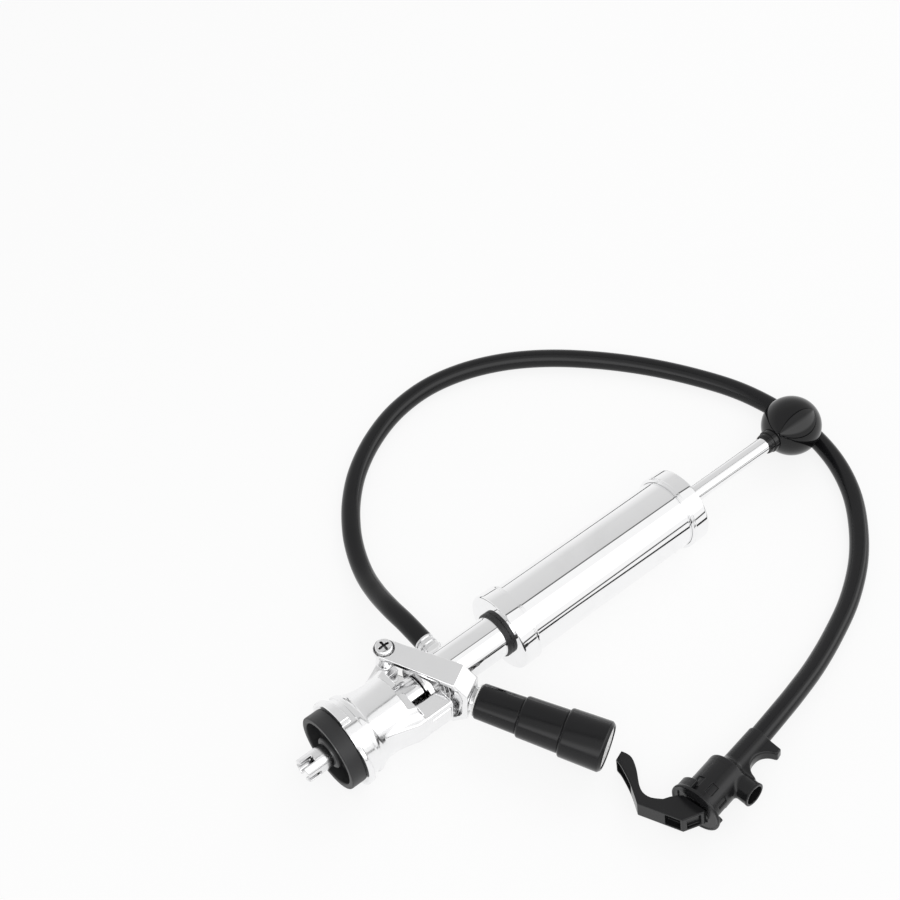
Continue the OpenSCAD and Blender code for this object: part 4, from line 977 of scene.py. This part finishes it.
class PUMP_OT_studio(Operator):
    """Pale table, soft lamps and a plain studio round the pump, with the thin dark gaps between its screens"""

    bl_idname = "pump.studio"
    bl_label = "Studio"

    def execute(self, context):
        bpy.ops.mesh.primitive_plane_add(size=12.0, location=(0, 0, 0))
        floor = context.object
        floor.name = "table"
        material = bpy.data.materials.new("table")
        material.use_nodes = True
        tree = material.node_tree
        tree.nodes.clear()
        cloth = add(tree, "ShaderNodeBsdfDiffuse", {"Color": (*context.scene.pump_looks.floor, 1.0)})
        glow = add(tree, "ShaderNodeEmission", {"Color": WHITE, "Strength": 1.0})
        rays = add(tree, "ShaderNodeLightPath")
        seen = maths(tree, "MAXIMUM", rays.outputs["Is Camera Ray"], rays.outputs["Is Glossy Ray"])
        share = maths(tree, "MULTIPLY", seen, FLOOR_GLOW)
        mixed = either(tree, share, cloth.outputs["BSDF"], glow.outputs["Emission"])
        add(tree, "ShaderNodeOutputMaterial", {"Surface": mixed})
        floor.data.materials.append(material)
        self.world(context)
        for name, place, size, energy in LAMPS:
            lamp = bpy.data.lights.new(name, "AREA")
            lamp.size = size
            lamp.energy = energy
            lamp_object = bpy.data.objects.new(name, lamp)
            lamp_object.visible_glossy = False
            lamp_object.location = place
            lamp_object.rotation_euler = (-Vector(place)).to_track_quat("-Z", "Y").to_euler()
            context.scene.collection.objects.link(lamp_object)
        context.scene.view_settings.view_transform = "Standard"
        return {"FINISHED"}

    def world(self, context):
        """White screens in front and above, a grey one behind, and thin dark gaps where they meet."""
        world = bpy.data.worlds.new("studio")
        context.scene.world = world
        world.use_nodes = True
        tree = world.node_tree
        tree.nodes.clear()
        place = add(tree, "ShaderNodeTexCoord")
        parts = add(tree, "ShaderNodeSeparateXYZ", {"Vector": place.outputs["Generated"]})
        front = maths(tree, "MULTIPLY", parts.outputs["Y"], -1.0)
        turn = maths(tree, "ARCTAN2", parts.outputs["Z"], front)
        screens = add(tree, "ShaderNodeValToRGB", {"Fac": spread(tree, turn, -BELOW_TABLE, np.pi + BELOW_TABLE)})
        brightest = max(level for at, level in SCREENS)
        ramp = screens.color_ramp
        for i, (at, level) in enumerate(SCREENS):
            stop = ramp.elements[i] if i < 2 else ramp.elements.new(at)
            stop.position, stop.color = at, (*[level / brightest] * 3, 1.0)
        rays = add(tree, "ShaderNodeLightPath")
        mirrored = add(tree, "ShaderNodeBackground", {"Color": screens.outputs["Color"], "Strength": brightest})
        soft = add(tree, "ShaderNodeBackground", {"Color": WHITE, "Strength": SKY_LIGHT})
        seen = add(tree, "ShaderNodeBackground", {"Color": WHITE, "Strength": 1.0})
        lit = either(tree, rays.outputs["Is Glossy Ray"], soft.outputs["Background"], mirrored.outputs["Background"])
        whole = either(tree, rays.outputs["Is Camera Ray"], lit, seen.outputs["Background"])
        add(tree, "ShaderNodeOutputWorld", {"Surface": whole})


class PUMP_PT_panel(Panel):
    """Lists the pieces of the pump, with its sizes and colours"""

    bl_idname = "PUMP_PT_panel"
    bl_label = "Keg Party Pump"
    bl_space_type = "VIEW_3D"
    bl_region_type = "UI"
    bl_category = "Pump"

    def draw(self, context):
        looks, sizes = context.scene.pump_looks, context.scene.pump_sizes
        for name in ("chrome", "black", "floor"):
            self.layout.prop(looks, name)
        self.layout.prop(sizes, "hose_diameter")
        for operator in OPERATORS:
            self.layout.operator(operator.bl_idname)


OPERATORS = (PUMP_OT_camera, PUMP_OT_hose, PUMP_OT_coupler, PUMP_OT_lever, PUMP_OT_probe, PUMP_OT_cylinder,
             PUMP_OT_rod, PUMP_OT_tap, PUMP_OT_inner_parts, PUMP_OT_studio)
CLASSES = (PumpLooks, PumpSizes, *OPERATORS, PUMP_PT_panel)


def register():
    """Registers the classes and their settings on the scene."""
    for cls in CLASSES:
        bpy.utils.register_class(cls)
    bpy.types.Scene.pump_looks = PointerProperty(type=PumpLooks)
    bpy.types.Scene.pump_sizes = PointerProperty(type=PumpSizes)


def unregister():
    """Takes away what register added."""
    del bpy.types.Scene.pump_sizes
    del bpy.types.Scene.pump_looks
    for cls in reversed(CLASSES):
        bpy.utils.unregister_class(cls)


def main():
    """Builds the pump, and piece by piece."""
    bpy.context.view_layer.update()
    register()
    for operator in OPERATORS:
        _, name = operator.bl_idname.split(".")
        getattr(bpy.ops.pump, name)()


if __name__ == "__main__":
    main()
